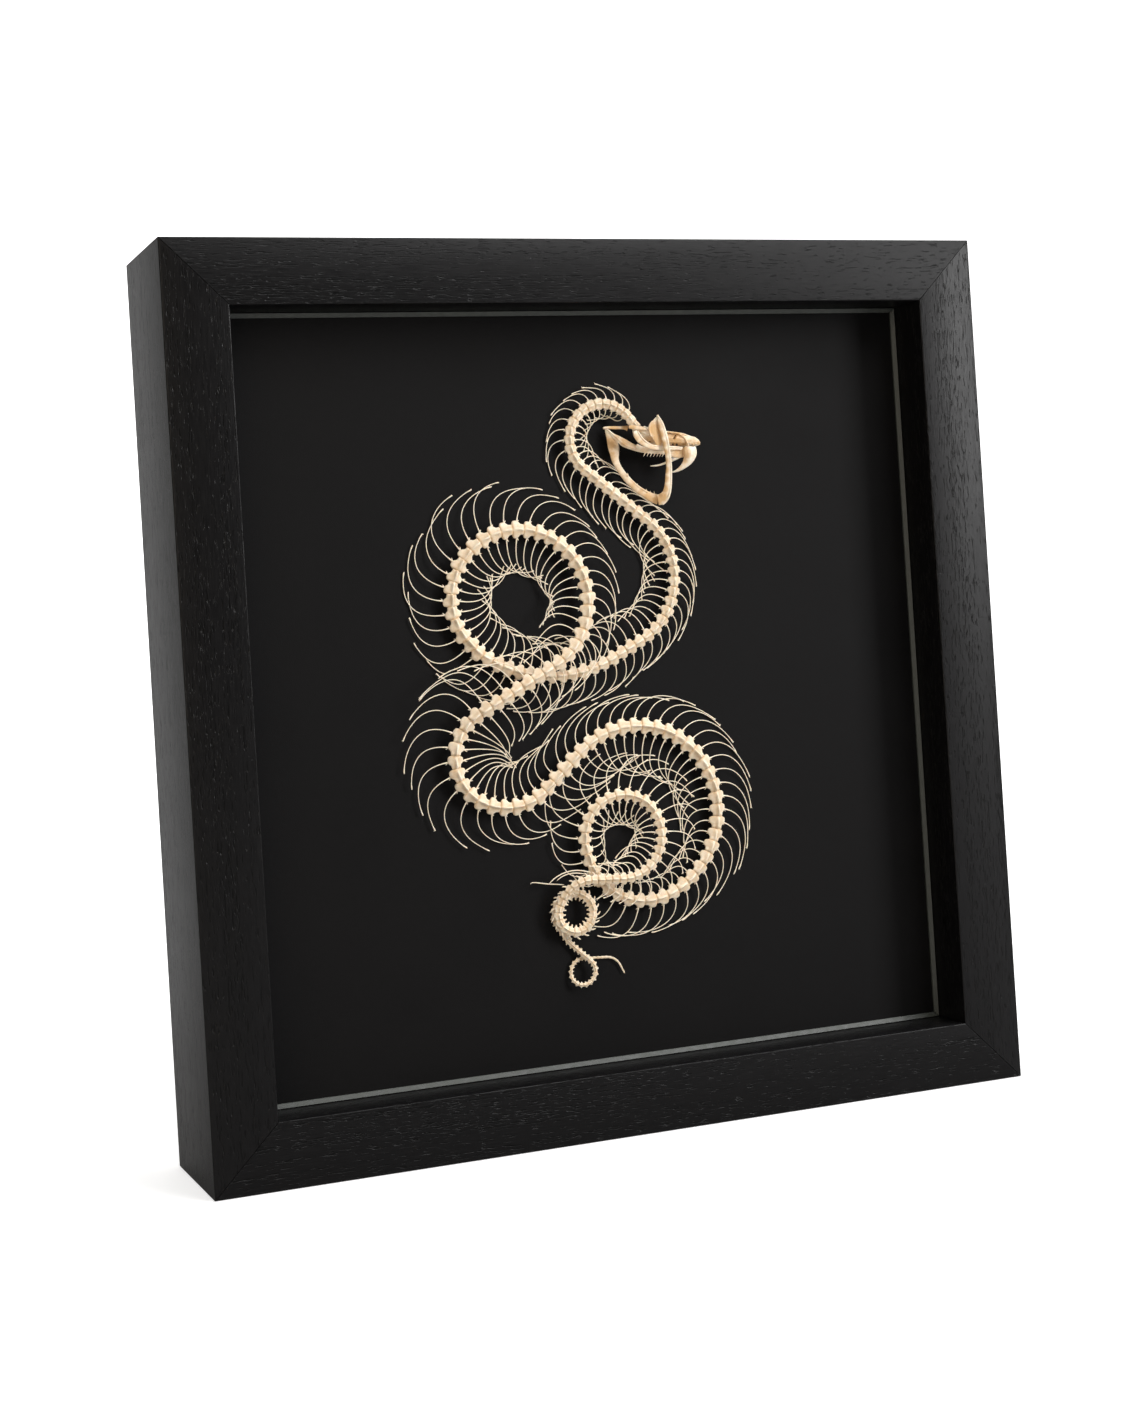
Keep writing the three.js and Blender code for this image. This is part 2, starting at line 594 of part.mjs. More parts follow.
const MAXILLA_LEFT = [[46.5, 103.6, 4.6, 1.8, 1.5], [45.8, 101.3, 4.5, 2.2, 1.5],
  [43.8, 99.8, 4.6, 1.6, 1.3], [41, 98.4, 5, 1, 0.9], [37, 97.1, 5.6, 0.65, 0.6],
  [33, 96.3, 6, 0.45, 0.45], [29, 96.1, 6.3, 0.25, 0.25]];
const MANDIBLE_LEFT = [[9.2, 113.4, 2.8, 0.9, 0.8], [11.2, 109.5, 3, 2.3, 0.8], [12, 105.5, 3.4, 2.9, 0.8],
  [11.9, 102, 3.9, 2.4, 0.9], [12.4, 98.5, 4.4, 2, 0.9], [14.4, 94.8, 5, 1.8, 0.9],
  [17.2, 91, 5.7, 1.7, 0.9], [21, 87, 6.4, 1.8, 0.9], [25.5, 83.8, 7.1, 2, 0.9], [29, 81.8, 7.7, 2.2, 0.7],
  [32, 80.9, 8.1, 2, 0.5]];
const MANDIBLE_RIGHT = [[34.2, 118.6, 15.6, 0.6, 0.6], [35, 116.4, 15.8, 1.2, 0.8],
  [36.1, 113, 15.8, 1.7, 0.8], [36.9, 109.4, 15.6, 1.8, 0.8], [37.6, 105.5, 15.2, 1.6, 0.8],
  [38.1, 100, 14.4, 1.5, 0.8], [38.2, 95.5, 13.5, 1.6, 0.8], [37.8, 91, 12.7, 1.75, 0.8],
  [37.3, 87, 12, 1.8, 0.8], [36.1, 83.4, 11.2, 2.1, 0.7], [34, 81.3, 10.4, 2.6, 0.6],
  [31.6, 80.8, 9.8, 2.4, 0.5]];

function addSkull() {
  const palateTeeth = { from: 0.5, to: 0.86, count: 7, edge: [0, -1], lean: [-0.5, 0], length: 0.9 };
  addMesh('cranium', boneShape(CRANIUM, 8), BONE);
  addMesh('supratemporal_right', boneShape(SUPRATEMPORAL, 5), BONE);
  addMesh('supratemporal_left', boneShape(mirrored(SUPRATEMPORAL), 5), BONE);
  addMesh('ectopterygoid_right', boneShape(ECTOPTERYGOID, 5), BONE);
  addMesh('ectopterygoid_left', boneShape(mirrored(ECTOPTERYGOID.slice(0, -1)), 5), BONE);
  addMesh('pterygoid_right', toothedBone(PTERYGOID_RIGHT, 5, { ...palateTeeth, from: 0.3 }), BONE);
  addMesh('pterygoid_left', toothedBone(PTERYGOID_LEFT, 5, palateTeeth), BONE);
  addMesh('quadrate_left', boneShape(QUADRATE_LEFT, 5), BONE);
  addMesh('quadrate_right', boneShape(QUADRATE_RIGHT, 5), BONE);
  addMesh('maxilla_right', boneShape(MAXILLA_RIGHT, 6), TOOTH);
  addMesh('maxilla_left', boneShape(MAXILLA_LEFT, 6), TOOTH);
  addMesh('mandible_left', toothedBone(MANDIBLE_LEFT, 6,
    { from: 0.64, to: 0.95, count: 4, edge: [0.45, 0.89], lean: [-0.3, 0.2], length: 0.9 }), BONE);
  addMesh('mandible_right', toothedBone(MANDIBLE_RIGHT, 6,
    { from: 0.84, to: 0.95, count: 2, edge: [-0.8, 0.6], lean: [-0.2, 0.5], length: 0.8 }), BONE);
}

addFrame();
addBackHardware();
addSkull();
addBody();

export default group;
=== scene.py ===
# A viper's skeleton laid in loops on a black board, in a deep box frame of black-stained oak.
import math
import random
from bisect import bisect_right

import bmesh
import bpy
from mathutils import Matrix, Vector


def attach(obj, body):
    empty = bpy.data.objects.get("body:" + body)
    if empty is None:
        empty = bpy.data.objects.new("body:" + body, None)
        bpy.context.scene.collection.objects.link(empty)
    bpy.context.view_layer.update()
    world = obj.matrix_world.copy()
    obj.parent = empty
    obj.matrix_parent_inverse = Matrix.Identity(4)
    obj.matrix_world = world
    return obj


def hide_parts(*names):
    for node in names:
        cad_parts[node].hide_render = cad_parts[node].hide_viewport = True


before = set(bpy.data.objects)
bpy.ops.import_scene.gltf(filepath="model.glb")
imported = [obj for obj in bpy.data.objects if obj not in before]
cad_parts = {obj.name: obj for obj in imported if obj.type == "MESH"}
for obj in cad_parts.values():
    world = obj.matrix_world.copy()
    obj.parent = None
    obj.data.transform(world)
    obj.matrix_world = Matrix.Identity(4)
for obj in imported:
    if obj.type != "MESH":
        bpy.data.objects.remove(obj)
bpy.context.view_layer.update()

scene = bpy.context.scene

# ---- oak rails ----
# Four deep rails of oak, mitred and glued at the corners. They are stained black with the pores
# left open, and their arrises are eased by a light sanding. A rebate behind takes board and back.
MM = 0.001
FRAME_WIDE = 380
FRAME_HIGH = 390
FRAME_DEEP = 70
RAIL_FACE = 28
REBATE = 6
BOARD_FROM_FRONT = 25
FIT = 0.3
ARRIS = 0.6


def make_piece(name, points, faces, finish, slot, *stands_for):
    """A smooth mesh piece in metres that rides on the part's one body."""
    mesh = bpy.data.meshes.new(name)
    mesh.from_pydata([tuple(p) for p in points], [], faces)
    shell = bmesh.new()
    shell.from_mesh(mesh)
    bmesh.ops.recalc_face_normals(shell, faces=shell.faces)
    shell.to_mesh(mesh)
    shell.free()
    mesh.materials.append(finish)
    mesh.shade_smooth()
    piece = bpy.data.objects.new(name, mesh)
    scene.collection.objects.link(piece)
    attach(piece, "root")
    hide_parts(*stands_for)
    return piece


def eased(outline, radius, steps=3):
    """The closed outline with its corners rounded."""
    rounded = []
    for i, corner in enumerate(outline):
        corner = Vector(corner)
        before = (Vector(outline[i - 1]) - corner).normalized() * radius
        after = (Vector(outline[(i + 1) % len(outline)]) - corner).normalized() * radius
        for k in range(steps + 1):
            t = k / steps
            rounded.append(corner + before * (1 - t) ** 2 + after * t ** 2)
    return rounded


def mitred_rail(length, outline):
    """A rail along X. Its section runs from the outer edge inwards and from the front back."""
    count = len(outline)
    points = [Vector((end * (length / 2 - inward - FIT / 2), depth, -inward))
              for end in (-1, 1) for inward, depth in outline]
    faces = [list(range(count)), list(range(2 * count - 1, count - 1, -1))]
    faces += [[i, i + count, (i + 1) % count + count, (i + 1) % count] for i in range(count)]
    return points, faces


def at_side(points, quarter, across):
    """The rail turned by quarters to its side of the frame, in metres."""
    turn = Matrix.Rotation(quarter * math.pi / 2, 4, "Y")
    lift = Vector((0, -FRAME_DEEP / 2, FRAME_HIGH / 2))
    return [(turn @ (p + Vector((0, 0, across / 2))) + lift) * MM for p in points]


def add_node(tree, kind, feeds=None, **settings):
    """A shader node with its settings, its plain inputs and the sockets that feed it."""
    made = tree.nodes.new(kind)
    for key, value in settings.items():
        setattr(made, key, value)
    for key, value in (feeds or {}).items():
        if isinstance(value, bpy.types.NodeSocket):
            tree.links.new(value, made.inputs[key])
        else:
            made.inputs[key].default_value = value
    return made


def graded(tree, value, low, high, out_low=0.0, out_high=1.0):
    """A value stretched from one range to another and clamped."""
    return add_node(tree, "ShaderNodeMapRange",
                    {0: value, 1: low, 2: high, 3: out_low, 4: out_high}).outputs[0]


def combined(tree, operation, first, second):
    """Two values joined by a sum, a product or the like."""
    return add_node(tree, "ShaderNodeMath", {0: first, 1: second}, operation=operation).outputs[0]


def between(tree, share, first, second):
    """A colour between two others."""
    return add_node(tree, "ShaderNodeMix", {0: share, 6: first, 7: second},
                    data_type="RGBA").outputs[2]


def speckle(tree, where, detail=2.0, roughness=0.5, distortion=0.0):
    """Noise with lumps about one unit of the vector across."""
    return add_node(tree, "ShaderNodeTexNoise",
                    {"Vector": where, "Scale": 1.0, "Detail": detail, "Roughness": roughness,
                     "Distortion": distortion}).outputs[0]


def scaled(tree, where, along, across, deep):
    """The place measured in lumps of the noise, so many to the metre on each axis."""
    return add_node(tree, "ShaderNodeVectorMath", {0: where, 1: (along, across, deep)},
                    operation="MULTIPLY").outputs[0]


def effect(name, inputs, outputs):
    """An empty node group with named sockets, and the two ends that its nodes join."""
    group = bpy.data.node_groups.new(name, "ShaderNodeTree")
    for title, kind, value in inputs:
        socket = group.interface.new_socket(title, in_out="INPUT", socket_type=kind)
        if value is not None:
            socket.default_value = value
    for title, kind in outputs:
        group.interface.new_socket(title, in_out="OUTPUT", socket_type=kind)
    return (group, group.nodes.new("NodeGroupInput").outputs,
            group.nodes.new("NodeGroupOutput").inputs)


def use_effect(tree, group, feeds):
    """The effect placed in a material with its own values."""
    return add_node(tree, "ShaderNodeGroup", feeds, node_tree=group).outputs


def new_finish(name):
    """A material and the place on the part, in metres, that its pattern is drawn from."""
    material = bpy.data.materials.new(name)
    material.use_nodes = True
    tree = material.node_tree
    tree.nodes.clear()
    return material, tree, add_node(tree, "ShaderNodeTexCoord").outputs["Object"]


def surface(tree, colour, roughness, height, relief, **plain):
    """The shader of a finish; relief is the height of the pattern in metres."""
    bump = add_node(tree, "ShaderNodeBump", {"Height": height, "Strength": 1.0, "Distance": relief})
    feeds = {"Base Color": colour, "Roughness": roughness, "Normal": bump.outputs[0]}
    feeds.update({key.replace("_", " "): value for key, value in plain.items()})
    shader = add_node(tree, "ShaderNodeBsdfPrincipled", feeds)
    add_node(tree, "ShaderNodeOutputMaterial", {"Surface": shader.outputs[0]})


# Grain of open-pored wood: the vector's x runs along the rail. Lumps of the year rings and of the
# fibres are given to the metre, along the rail and across it.
RINGS = (5, 230, 230)
FIBRES = (90, 3200, 3200)
open_grain, given, result = effect(
    "open_grain",
    [("Place", "NodeSocketVector", None), ("Pore Length", "NodeSocketFloat", 0.006),
     ("Pore Width", "NodeSocketFloat", 0.0007)],
    [("Pores", "NodeSocketFloat"), ("Fibre", "NodeSocketFloat"), ("Ring", "NodeSocketFloat"),
     ("Height", "NodeSocketFloat")])
spread = add_node(open_grain, "ShaderNodeCombineXYZ", {
    0: combined(open_grain, "DIVIDE", 1.0, given["Pore Length"]),
    1: combined(open_grain, "DIVIDE", 1.0, given["Pore Width"]),
    2: combined(open_grain, "DIVIDE", 1.0, given["Pore Width"])})
pore_place = add_node(open_grain, "ShaderNodeVectorMath", {0: given["Place"], 1: spread.outputs[0]},
                      operation="MULTIPLY").outputs[0]
ring = speckle(open_grain, scaled(open_grain, given["Place"], *RINGS), 1.5, 0.5, 0.35)
pores = graded(open_grain, combined(open_grain, "ADD", speckle(open_grain, pore_place, 1.0),
                                    graded(open_grain, ring, 0.35, 0.7, -0.07, 0.1)), 0.6, 0.68)
fibre = speckle(open_grain, scaled(open_grain, given["Place"], *FIBRES), 2.0)
for title, value in {"Pores": pores, "Fibre": fibre, "Ring": ring}.items():
    open_grain.links.new(value, result[title])
raised = combined(open_grain, "MULTIPLY", fibre, 0.25)
open_grain.links.new(combined(open_grain, "SUBTRACT", raised, pores), result["Height"])


PORE_DEPTH = 0.00016
OAK_GLOSS = 0.18


def oak_finish(name, upright, ground, light, pore):
    """Stained oak; upright oak has its grain along Z."""
    material, tree, place = new_finish(name)
    if upright:
        x, y, z = add_node(tree, "ShaderNodeSeparateXYZ", {0: place}).outputs
        place = add_node(tree, "ShaderNodeCombineXYZ", {0: z, 1: x, 2: y}).outputs[0]
    grain = use_effect(tree, open_grain, {"Place": place})
    wood = between(tree, graded(tree, grain["Fibre"], 0.3, 0.7), ground, light)
    wood = between(tree, graded(tree, grain["Ring"], 0.35, 0.65, 0.0, 0.5), wood, ground)
    colour = between(tree, grain["Pores"], wood, pore)
    roughness = graded(tree, grain["Fibre"], 0.3, 0.7, 0.28, 0.4)
    surface(tree, colour, roughness, grain["Height"], PORE_DEPTH, Specular_IOR_Level=OAK_GLOSS)
    return material


STAIN = (0.0028, 0.0026, 0.0029, 1)
STAIN_LIGHT = (0.006, 0.0056, 0.006, 1)
PORE = (0.001, 0.0009, 0.001, 1)
stained_lying = oak_finish("oak_stained_lying", False, STAIN, STAIN_LIGHT, PORE)
stained_upright = oak_finish("oak_stained_upright", True, STAIN, STAIN_LIGHT, PORE)

shoulder = BOARD_FROM_FRONT - FIT
rail_section = eased([(0, 0), (RAIL_FACE, 0), (RAIL_FACE, shoulder), (RAIL_FACE - REBATE, shoulder),
                      (RAIL_FACE - REBATE, FRAME_DEEP), (0, FRAME_DEEP)], ARRIS)
SIDES = ["top", "right", "bottom", "left"]
for quarter, side in enumerate(SIDES):
    upright = quarter % 2 == 1
    length, across = (FRAME_HIGH, FRAME_WIDE) if upright else (FRAME_WIDE, FRAME_HIGH)
    points, faces = mitred_rail(length, rail_section)
    oak = stained_upright if upright else stained_lying
    rail = make_piece("oak_rail_" + side, at_side(points, quarter, across), faces, oak,
                      "frame_oak", "rail_" + side)
    rail.data.set_sharp_from_angle(angle=math.radians(35))

# ---- back battens ----
# Four battens pinned inside the rebate, which hold the board against its shoulder. They are the
# same oak, only rubbed over with stain, so their grain shows paler and drier.
BATTEN = (0.03, 0.024, 0.02, 1)
BATTEN_LIGHT = (0.06, 0.048, 0.038, 1)
battens_lying = oak_finish("oak_batten_lying", False, BATTEN, BATTEN_LIGHT, STAIN)
battens_upright = oak_finish("oak_batten_upright", True, BATTEN, BATTEN_LIGHT, STAIN)


def refinish(node, finish):
    """A solid that shows as it is gets its finish."""
    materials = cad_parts[node].data.materials
    materials.clear()
    materials.append(finish)


for quarter, side in enumerate(SIDES):
    refinish("back_batten_" + side, battens_upright if quarter % 2 else battens_lying)

# ---- specimen board ----
# A sheet of thick card faced with matt black paper, pushed against the rails' shoulder. The paper
# has a soft cloudy tone and short fibres.
PAPER = (0.0036, 0.0034, 0.0036, 1)
PAPER_CLOUD = (0.005, 0.0047, 0.0049, 1)
PAPER_FIBRE = (0.006, 0.0056, 0.006, 1)
PAPER_GLOSS = 0.1
board_paper, tree, place = new_finish("board_paper")
cloud = speckle(tree, scaled(tree, place, 22, 22, 22), 3.0)
fibres = speckle(tree, scaled(tree, place, 2400, 2400, 2400), 3.0, 0.6, 0.6)
paper = between(tree, graded(tree, cloud, 0.3, 0.7), PAPER, PAPER_CLOUD)
paper = between(tree, graded(tree, fibres, 0.55, 0.75), paper, PAPER_FIBRE)
surface(tree, paper, graded(tree, cloud, 0.3, 0.7, 0.58, 0.68), fibres, 0.00006,
        Specular_IOR_Level=PAPER_GLOSS)
refinish("board", board_paper)

# ---- bead ----
# A thin painted strip glued round the board where it meets the rails. Its paint is a dark
# greenish grey with brush lines along it.
BEAD_DARK = (0.03, 0.034, 0.03, 1)
BEAD_LIGHT = (0.05, 0.056, 0.049, 1)
bead_paint, tree, place = new_finish("bead_paint")
brushed = speckle(tree, scaled(tree, place, 300, 900, 300), 3.0)
paint = between(tree, graded(tree, brushed, 0.35, 0.65), BEAD_DARK, BEAD_LIGHT)
surface(tree, paint, graded(tree, brushed, 0.35, 0.65, 0.4, 0.55), brushed, 0.00008)
for side in SIDES:
    refinish("bead_" + side, bead_paint)

# ---- back panel ----
# A sheet of raw brown hardboard, smooth on one side, that closes the back. Pressed wood fibres
# make its fleck, and handling has darkened it in clouds.
BOARD_BROWN = (0.15, 0.088, 0.048, 1)
BOARD_FLECK = (0.27, 0.175, 0.1, 1)
BOARD_HANDLED = (0.11, 0.064, 0.036, 1)
hardboard, tree, place = new_finish("hardboard")
fleck = speckle(tree, scaled(tree, place, 900, 900, 2600), 4.0, 0.7, 0.8)
cloud = speckle(tree, scaled(tree, place, 14, 14, 14), 3.0)
brown = between(tree, graded(tree, fleck, 0.35, 0.68), BOARD_BROWN, BOARD_FLECK)
brown = between(tree, graded(tree, cloud, 0.45, 0.75, 0.0, 0.45), brown, BOARD_HANDLED)
surface(tree, brown, graded(tree, fleck, 0.3, 0.7, 0.5, 0.68), fleck, 0.0001)
refinish("back_panel", hardboard)

# ---- tabs and hanger ----
# Eight flat steel tabs are bent over the back panel, and a sawtooth hanger is riveted to it.
# All are zinc-plated sheet with a rolled grain and a few dull spots.
ZINC = (0.5, 0.5, 0.51, 1)
ZINC_LIGHT = (0.64, 0.64, 0.65, 1)
ZINC_DULL = (0.36, 0.35, 0.34, 1)
TABS = 8
zinc, tree, place = new_finish("zinc_plate")
rolled = speckle(tree, scaled(tree, place, 220, 220, 5200), 3.0)
dull = graded(tree, speckle(tree, scaled(tree, place, 260, 260, 260), 4.0, 0.6), 0.5, 0.7)
plate = between(tree, graded(tree, rolled, 0.3, 0.7), ZINC, ZINC_LIGHT)
plate = between(tree, dull, plate, ZINC_DULL)
surface(tree, plate, graded(tree, dull, 0.0, 1.0, 0.28, 0.5), rolled, 0.00004, Metallic=1.0)
for fitting in ["back_tab_%d" % (n + 1) for n in range(TABS)] + ["hanger"]:
    refinish(fitting, zinc)

# ---- backbone and ribs ----
# About two hundred and forty vertebrae, cleaned and dried, and laid in loops with a pair of ribs
# on each as far as the vent. Each vertebra has a crest, forward wings and a rounded body below.

# The bones are plotted as they line up from a viewpoint in front of the frame and to its left;
# a place plots unshifted at one height off the board.
VIEWPOINT = (-375, 31.5)
VIEW_DISTANCE = 918
PLOT_HEIGHT = 7
# The backbone's middle line is a belt round these bends: each is the x, z and radius of a circle,
# and 1 for a turn to the left or -1 to the right. Lengths are in mm from the skull.
SPINE_START = (24, 113.2)
SPINE_END = (1.5, -127.5)
BENDS = [
    (7.2, 108.3, 16.2, 1), (5.5, 47.5, 32, -1), (-21, 65, 59.5, -1), (-41.5, 40.5, 27, -1),
    (-37, 38.5, 32, -1), (-49.5, -28, 21.5, 1), (-47, -24.5, 25.5, 1), (12.5, -58, 39, -1),
    (15.5, -68.2, 28.5, -1), (5, -67.5, 18.5, -1), (-12, -101, 16, 1), (-19.8, -98.9, 8.1, 1),
    (-20.5, -98.9, 8.9, 1), (-12, -102, 14.8, 1), (-18, -124.6, 5.8, -1), (-7, -127, 7.5, -1)]
HALF_WIDTH = [
    (0, 2.4), (25, 2.6), (100, 2.9), (180, 3.2), (260, 3.6), (640, 3.6), (720, 3.2), (780, 2.8),
    (850, 2.4), (915, 2.2), (940, 1.25), (975, 0.9), (988, 0.62), (1010, 0.25)]
VERTEBRA_PITCH = [
    (0, 3.4), (40, 4), (100, 4.6), (200, 5.1), (300, 5.4), (400, 5.6), (690, 5.6), (760, 4.5),
    (800, 4), (850, 3.2), (900, 2.8), (950, 2.2), (1010, 1.8)]
SPINE_HEIGHT = [
    (0, 8.5), (28, 4.6), (180, 3.8), (240, 3.8), (340, 4.4), (380, 7), (402, 10), (432, 10),
    (462, 5.4), (500, 4.2), (700, 3.8), (725, 3.8), (775, 6.5), (805, 9.6), (845, 9.4), (865, 5.6),
    (893, 5.4), (908, 1.9), (935, 1.9), (950, 4), (962, 4), (972, 1.4), (1010, 1.2)]
RIB_FIRST = 7
RIB_LAST = 838
# Ribs of each side: the distance of the rib, how far out its tip lies, how far back towards the
# tail, and how much the tip turns to run along the body.
LEFT_RIBS = [
    (0, 5, 5, 0.4), (20, 8, 8, 0.5), (45, 11, 10, 0.8), (62, 9.5, 12, 1), (80, 7, 16, 1),
    (100, 9.5, 14, 0.3), (128, 11, 16, 0.5), (175, 13, 16, 0.5), (215, 17, 13, 0.6),
    (250, 20, 13, 0.8), (290, 22.5, 15, 0.8), (310, 19, 13, 0.9), (325, 16, 15, 0.9),
    (345, 14.5, 17, 1), (380, 13, 18, 1), (400, 14, 16, 0.7), (415, 19.5, 13, 0.3),
    (435, 20, 4, 0.3), (450, 23, -3, 0.2), (462, 25, 0, 0.3), (470, 25.5, 5, 0.3),
    (480, 22.5, 5.5, 0.2), (500, 20.5, 8, 0.2), (510, 22, 15, 0.4), (520, 17.5, 18, 0.5),
    (532, 14.5, 20, 0.7), (550, 13, 22, 0.9), (565, 13.5, 20, 0.8), (580, 16, 18, 0.6),
    (600, 17.5, 18, 0.5), (635, 17, 19, 0.5), (655, 13, 21, 0.9), (678, 14, 20, 0.9),
    (690, 17.5, 18, 0.6), (700, 19.5, 12.5, 0.4), (706, 18, 7, 0.3), (712, 14, 3, 0.2),
    (720, 10, 8, 0.3), (735, 18, 9, 0.3), (748, 24, 9, 0.2), (760, 18, 12, 0.4), (778, 20, 10, 0.4),
    (790, 18, 5, 0.2), (810, 13.5, 4, 0.2), (838, 8, 6, 0.3)]
RIGHT_RIBS = [
    (0, 6, 7, 0), (20, 9, 8, 0), (52, 13.5, 10, 0.2), (64, 15.5, 14, 0.6), (80, 14, 20, 1),
    (97, 14.5, 20, 1), (108, 16, 14, 0.8), (130, 17.7, 12, 0.8), (168, 17, 13, 0.8),
    (200, 17, 16, 0.8), (225, 18, 15, 0.8), (250, 20.4, 13, 0.8), (300, 21.7, 12.5, 0.8),
    (350, 21.4, 12, 0.8), (378, 20, 9, 0.5), (397, 12, 17, 0.5), (415, 17, 18, 0.5),
    (435, 24, 20, 0.6), (450, 23.5, 12, 0.2), (470, 21, 11, 0.2), (484, 19, 12, 0.3),
    (492, 15.5, 13, 0.5), (505, 17, 13, 0.5), (520, 17, 17, 0.5), (530, 18.7, 24, 0.7),
    (540, 20.7, 23, 0.7), (550, 22, 19, 0.7), (560, 24, 14.5, 0.6), (580, 24, 13.5, 0.4),
    (600, 22, 19, 0.5), (620, 22.5, 15, 0.5), (630, 19.4, 13.5, 0.6), (642, 15.5, 18, 0.8),
    (655, 14.5, 18.5, 0.8), (670, 11, 13, 0.8), (690, 10, 10, 0.6), (720, 9, 10, 0.6),
    (740, 12, 12, 0.6), (752, 16, 11, 0.5), (765, 16.4, 9, 0.4), (780, 14, 8, 0.4),
    (795, 17, 7, 0.4), (810, 16, 12, 0.5), (825, 8, 11, 0.5), (838, 6, 8, 0.3)]
RIB_BED = [
    (0, 2.6), (40, 0.6), (320, 0.6), (345, 2.6), (362, 4.5), (378, 7.6), (438, 7.4), (462, 1.6),
    (530, 1.3), (570, 0.6), (715, 0.6), (735, 1.7), (780, 2), (800, 6.4), (836, 7)]
LENGTHS = {"neck": 70, "trunk_1": 190, "trunk_2": 300, "trunk_3": 388, "trunk_4": 480,
           "trunk_5": 590, "trunk_6": 690, "trunk_7": 790, "trunk_8": 850, "tail_1": 930,
           "tail_2": 1100}


def on_board(x, z, height):
    """A plotted place, in mm from the board's middle and off its face, set on its line of sight."""
    nearness = (VIEW_DISTANCE - height) / (VIEW_DISTANCE - PLOT_HEIGHT)
    return Vector((VIEWPOINT[0] + (x - VIEWPOINT[0]) * nearness,
                   BOARD_FROM_FRONT - height - FRAME_DEEP / 2,
                   VIEWPOINT[1] + (z - VIEWPOINT[1]) * nearness + FRAME_HIGH / 2)) * MM


def belt_route(start, bends, end, step=0.5):
    """Points at even steps along a belt that runs round the bends."""
    circles = [(*start, 0, 0), *bends, (*end, 0, 0)]
    straights = []
    for (x0, z0, r0, t0), (x1, z1, r1, t1) in zip(circles, circles[1:]):
        lean = max(-1, min(1, (t1 * r1 - t0 * r0) / math.hypot(x1 - x0, z1 - z0)))
        heading = math.atan2(z1 - z0, x1 - x0) - math.asin(lean)
        left = Vector((-math.sin(heading), math.cos(heading)))
        straights.append((Vector((x0, z0)) - left * t0 * r0, Vector((x1, z1)) - left * t1 * r1))
    route = [straights[0][0]]
    for i, (leave, enter) in enumerate(straights):
        if i > 0:
            x, z, radius, turn = circles[i]
            before = straights[i - 1][1]
            first = math.atan2(before.y - z, before.x - x)
            last = math.atan2(leave.y - z, leave.x - x)
            sweep = turn * (((last - first) * turn) % (2 * math.pi))
            count = math.ceil(abs(sweep) * radius / step)
            route += [Vector((x + radius * math.cos(first + sweep * k / count),
                              z + radius * math.sin(first + sweep * k / count)))
                      for k in range(1, count + 1)]
        count = math.ceil((enter - leave).length / step)
        route += [leave.lerp(enter, k / count) for k in range(1, count + 1)]
    return route


def along(table, distance):
    """What the table holds at a distance, eased from each row to the next."""
    after = min(max(bisect_right([row[0] for row in table], distance), 1), len(table) - 1)
    start, *before = table[after - 1]
    end, *then = table[after]
    t = max(0.0, min(1.0, (distance - start) / (end - start)))
    values = [a + (b - a) * t * t * (3 - 2 * t) for a, b in zip(before, then)]
    return values if len(values) > 1 else values[0]


route = belt_route(SPINE_START, BENDS, SPINE_END)
passed = [0.0]
for here, there in zip(route, route[1:]):
    passed.append(passed[-1] + (there - here).length)
BODY_LENGTH = passed[-1]


def route_point(distance):
    wanted = max(0.0, min(BODY_LENGTH, distance))
    low = min(bisect_right(passed, wanted), len(passed) - 1) - 1
    share = (wanted - passed[low]) / (passed[low + 1] - passed[low])
    return route[low].lerp(route[low + 1], share)


def left_of(distance, reach=2):
    run = (route_point(distance + reach) - route_point(distance - reach)).normalized()
    return Vector((-run.y, run.x))


def beside(distance, out, height):
    """A place beside the backbone: how far along it, how far out to the left, and its height."""
    place = route_point(distance) + left_of(distance) * out
    return on_board(place.x, place.y, height)


def bend_radius(distance, reach=6):
    """Radius of the bend, positive where the body turns to the left."""
    turned = left_of(distance - reach).angle_signed(left_of(distance + reach), 0)
    return math.inf if abs(turned) < 0.01 else -2 * reach / turned


# A vertebra from front to back: share of its length, half width, wing, shoulder, crest and keel,
# all but the first as shares of its half width.
VERTEBRA = [
    (-0.05, 0.56, 0.06, 0.30, 0.34, 0.36), (0.00, 0.66, 0.06, 0.38, 0.44, 0.46),
    (0.04, 0.88, 0.05, 0.42, 0.48, 0.52), (0.09, 1.02, 0.03, 0.44, 0.54, 0.56),
    (0.18, 1.09, 0.00, 0.45, 0.62, 0.60), (0.32, 1.10, -0.04, 0.43, 0.70, 0.64),
    (0.45, 1.08, -0.03, 0.41, 0.75, 0.62), (0.55, 0.99, 0.00, 0.40, 0.77, 0.58),
    (0.62, 0.83, 0.05, 0.40, 0.78, 0.54), (0.69, 0.69, 0.10, 0.42, 0.78, 0.50),
    (0.80, 0.64, 0.15, 0.45, 0.76, 0.50), (0.90, 0.66, 0.16, 0.44, 0.68, 0.48),
    (0.97, 0.61, 0.13, 0.36, 0.50, 0.42), (1.02, 0.50, 0.08, 0.28, 0.34, 0.36)]
# How far the waist is drawn in: the neck and the first tail ring are smoother than the trunk.
KNOBBLE = [
    (0, 0.35), (60, 0.5), (110, 0.95), (180, 1), (800, 1), (850, 0.6), (925, 0.5), (945, 0.7),
    (980, 0.6), (1000, 0.2)]
# How much painted shade a vertebra gets from its crest round to its keel, and how much more in the
# grooves near its joints.
SHADE_ROUND = [0.0, 0.05, 0.25, 0.5, 0.35, 0.1, 0.15, 0.6, 0.9, 1.0, 1.0]
JOINT_SHADE = 0.45
JOINT_REACH = 0.2
WINGS_AT = 0.45


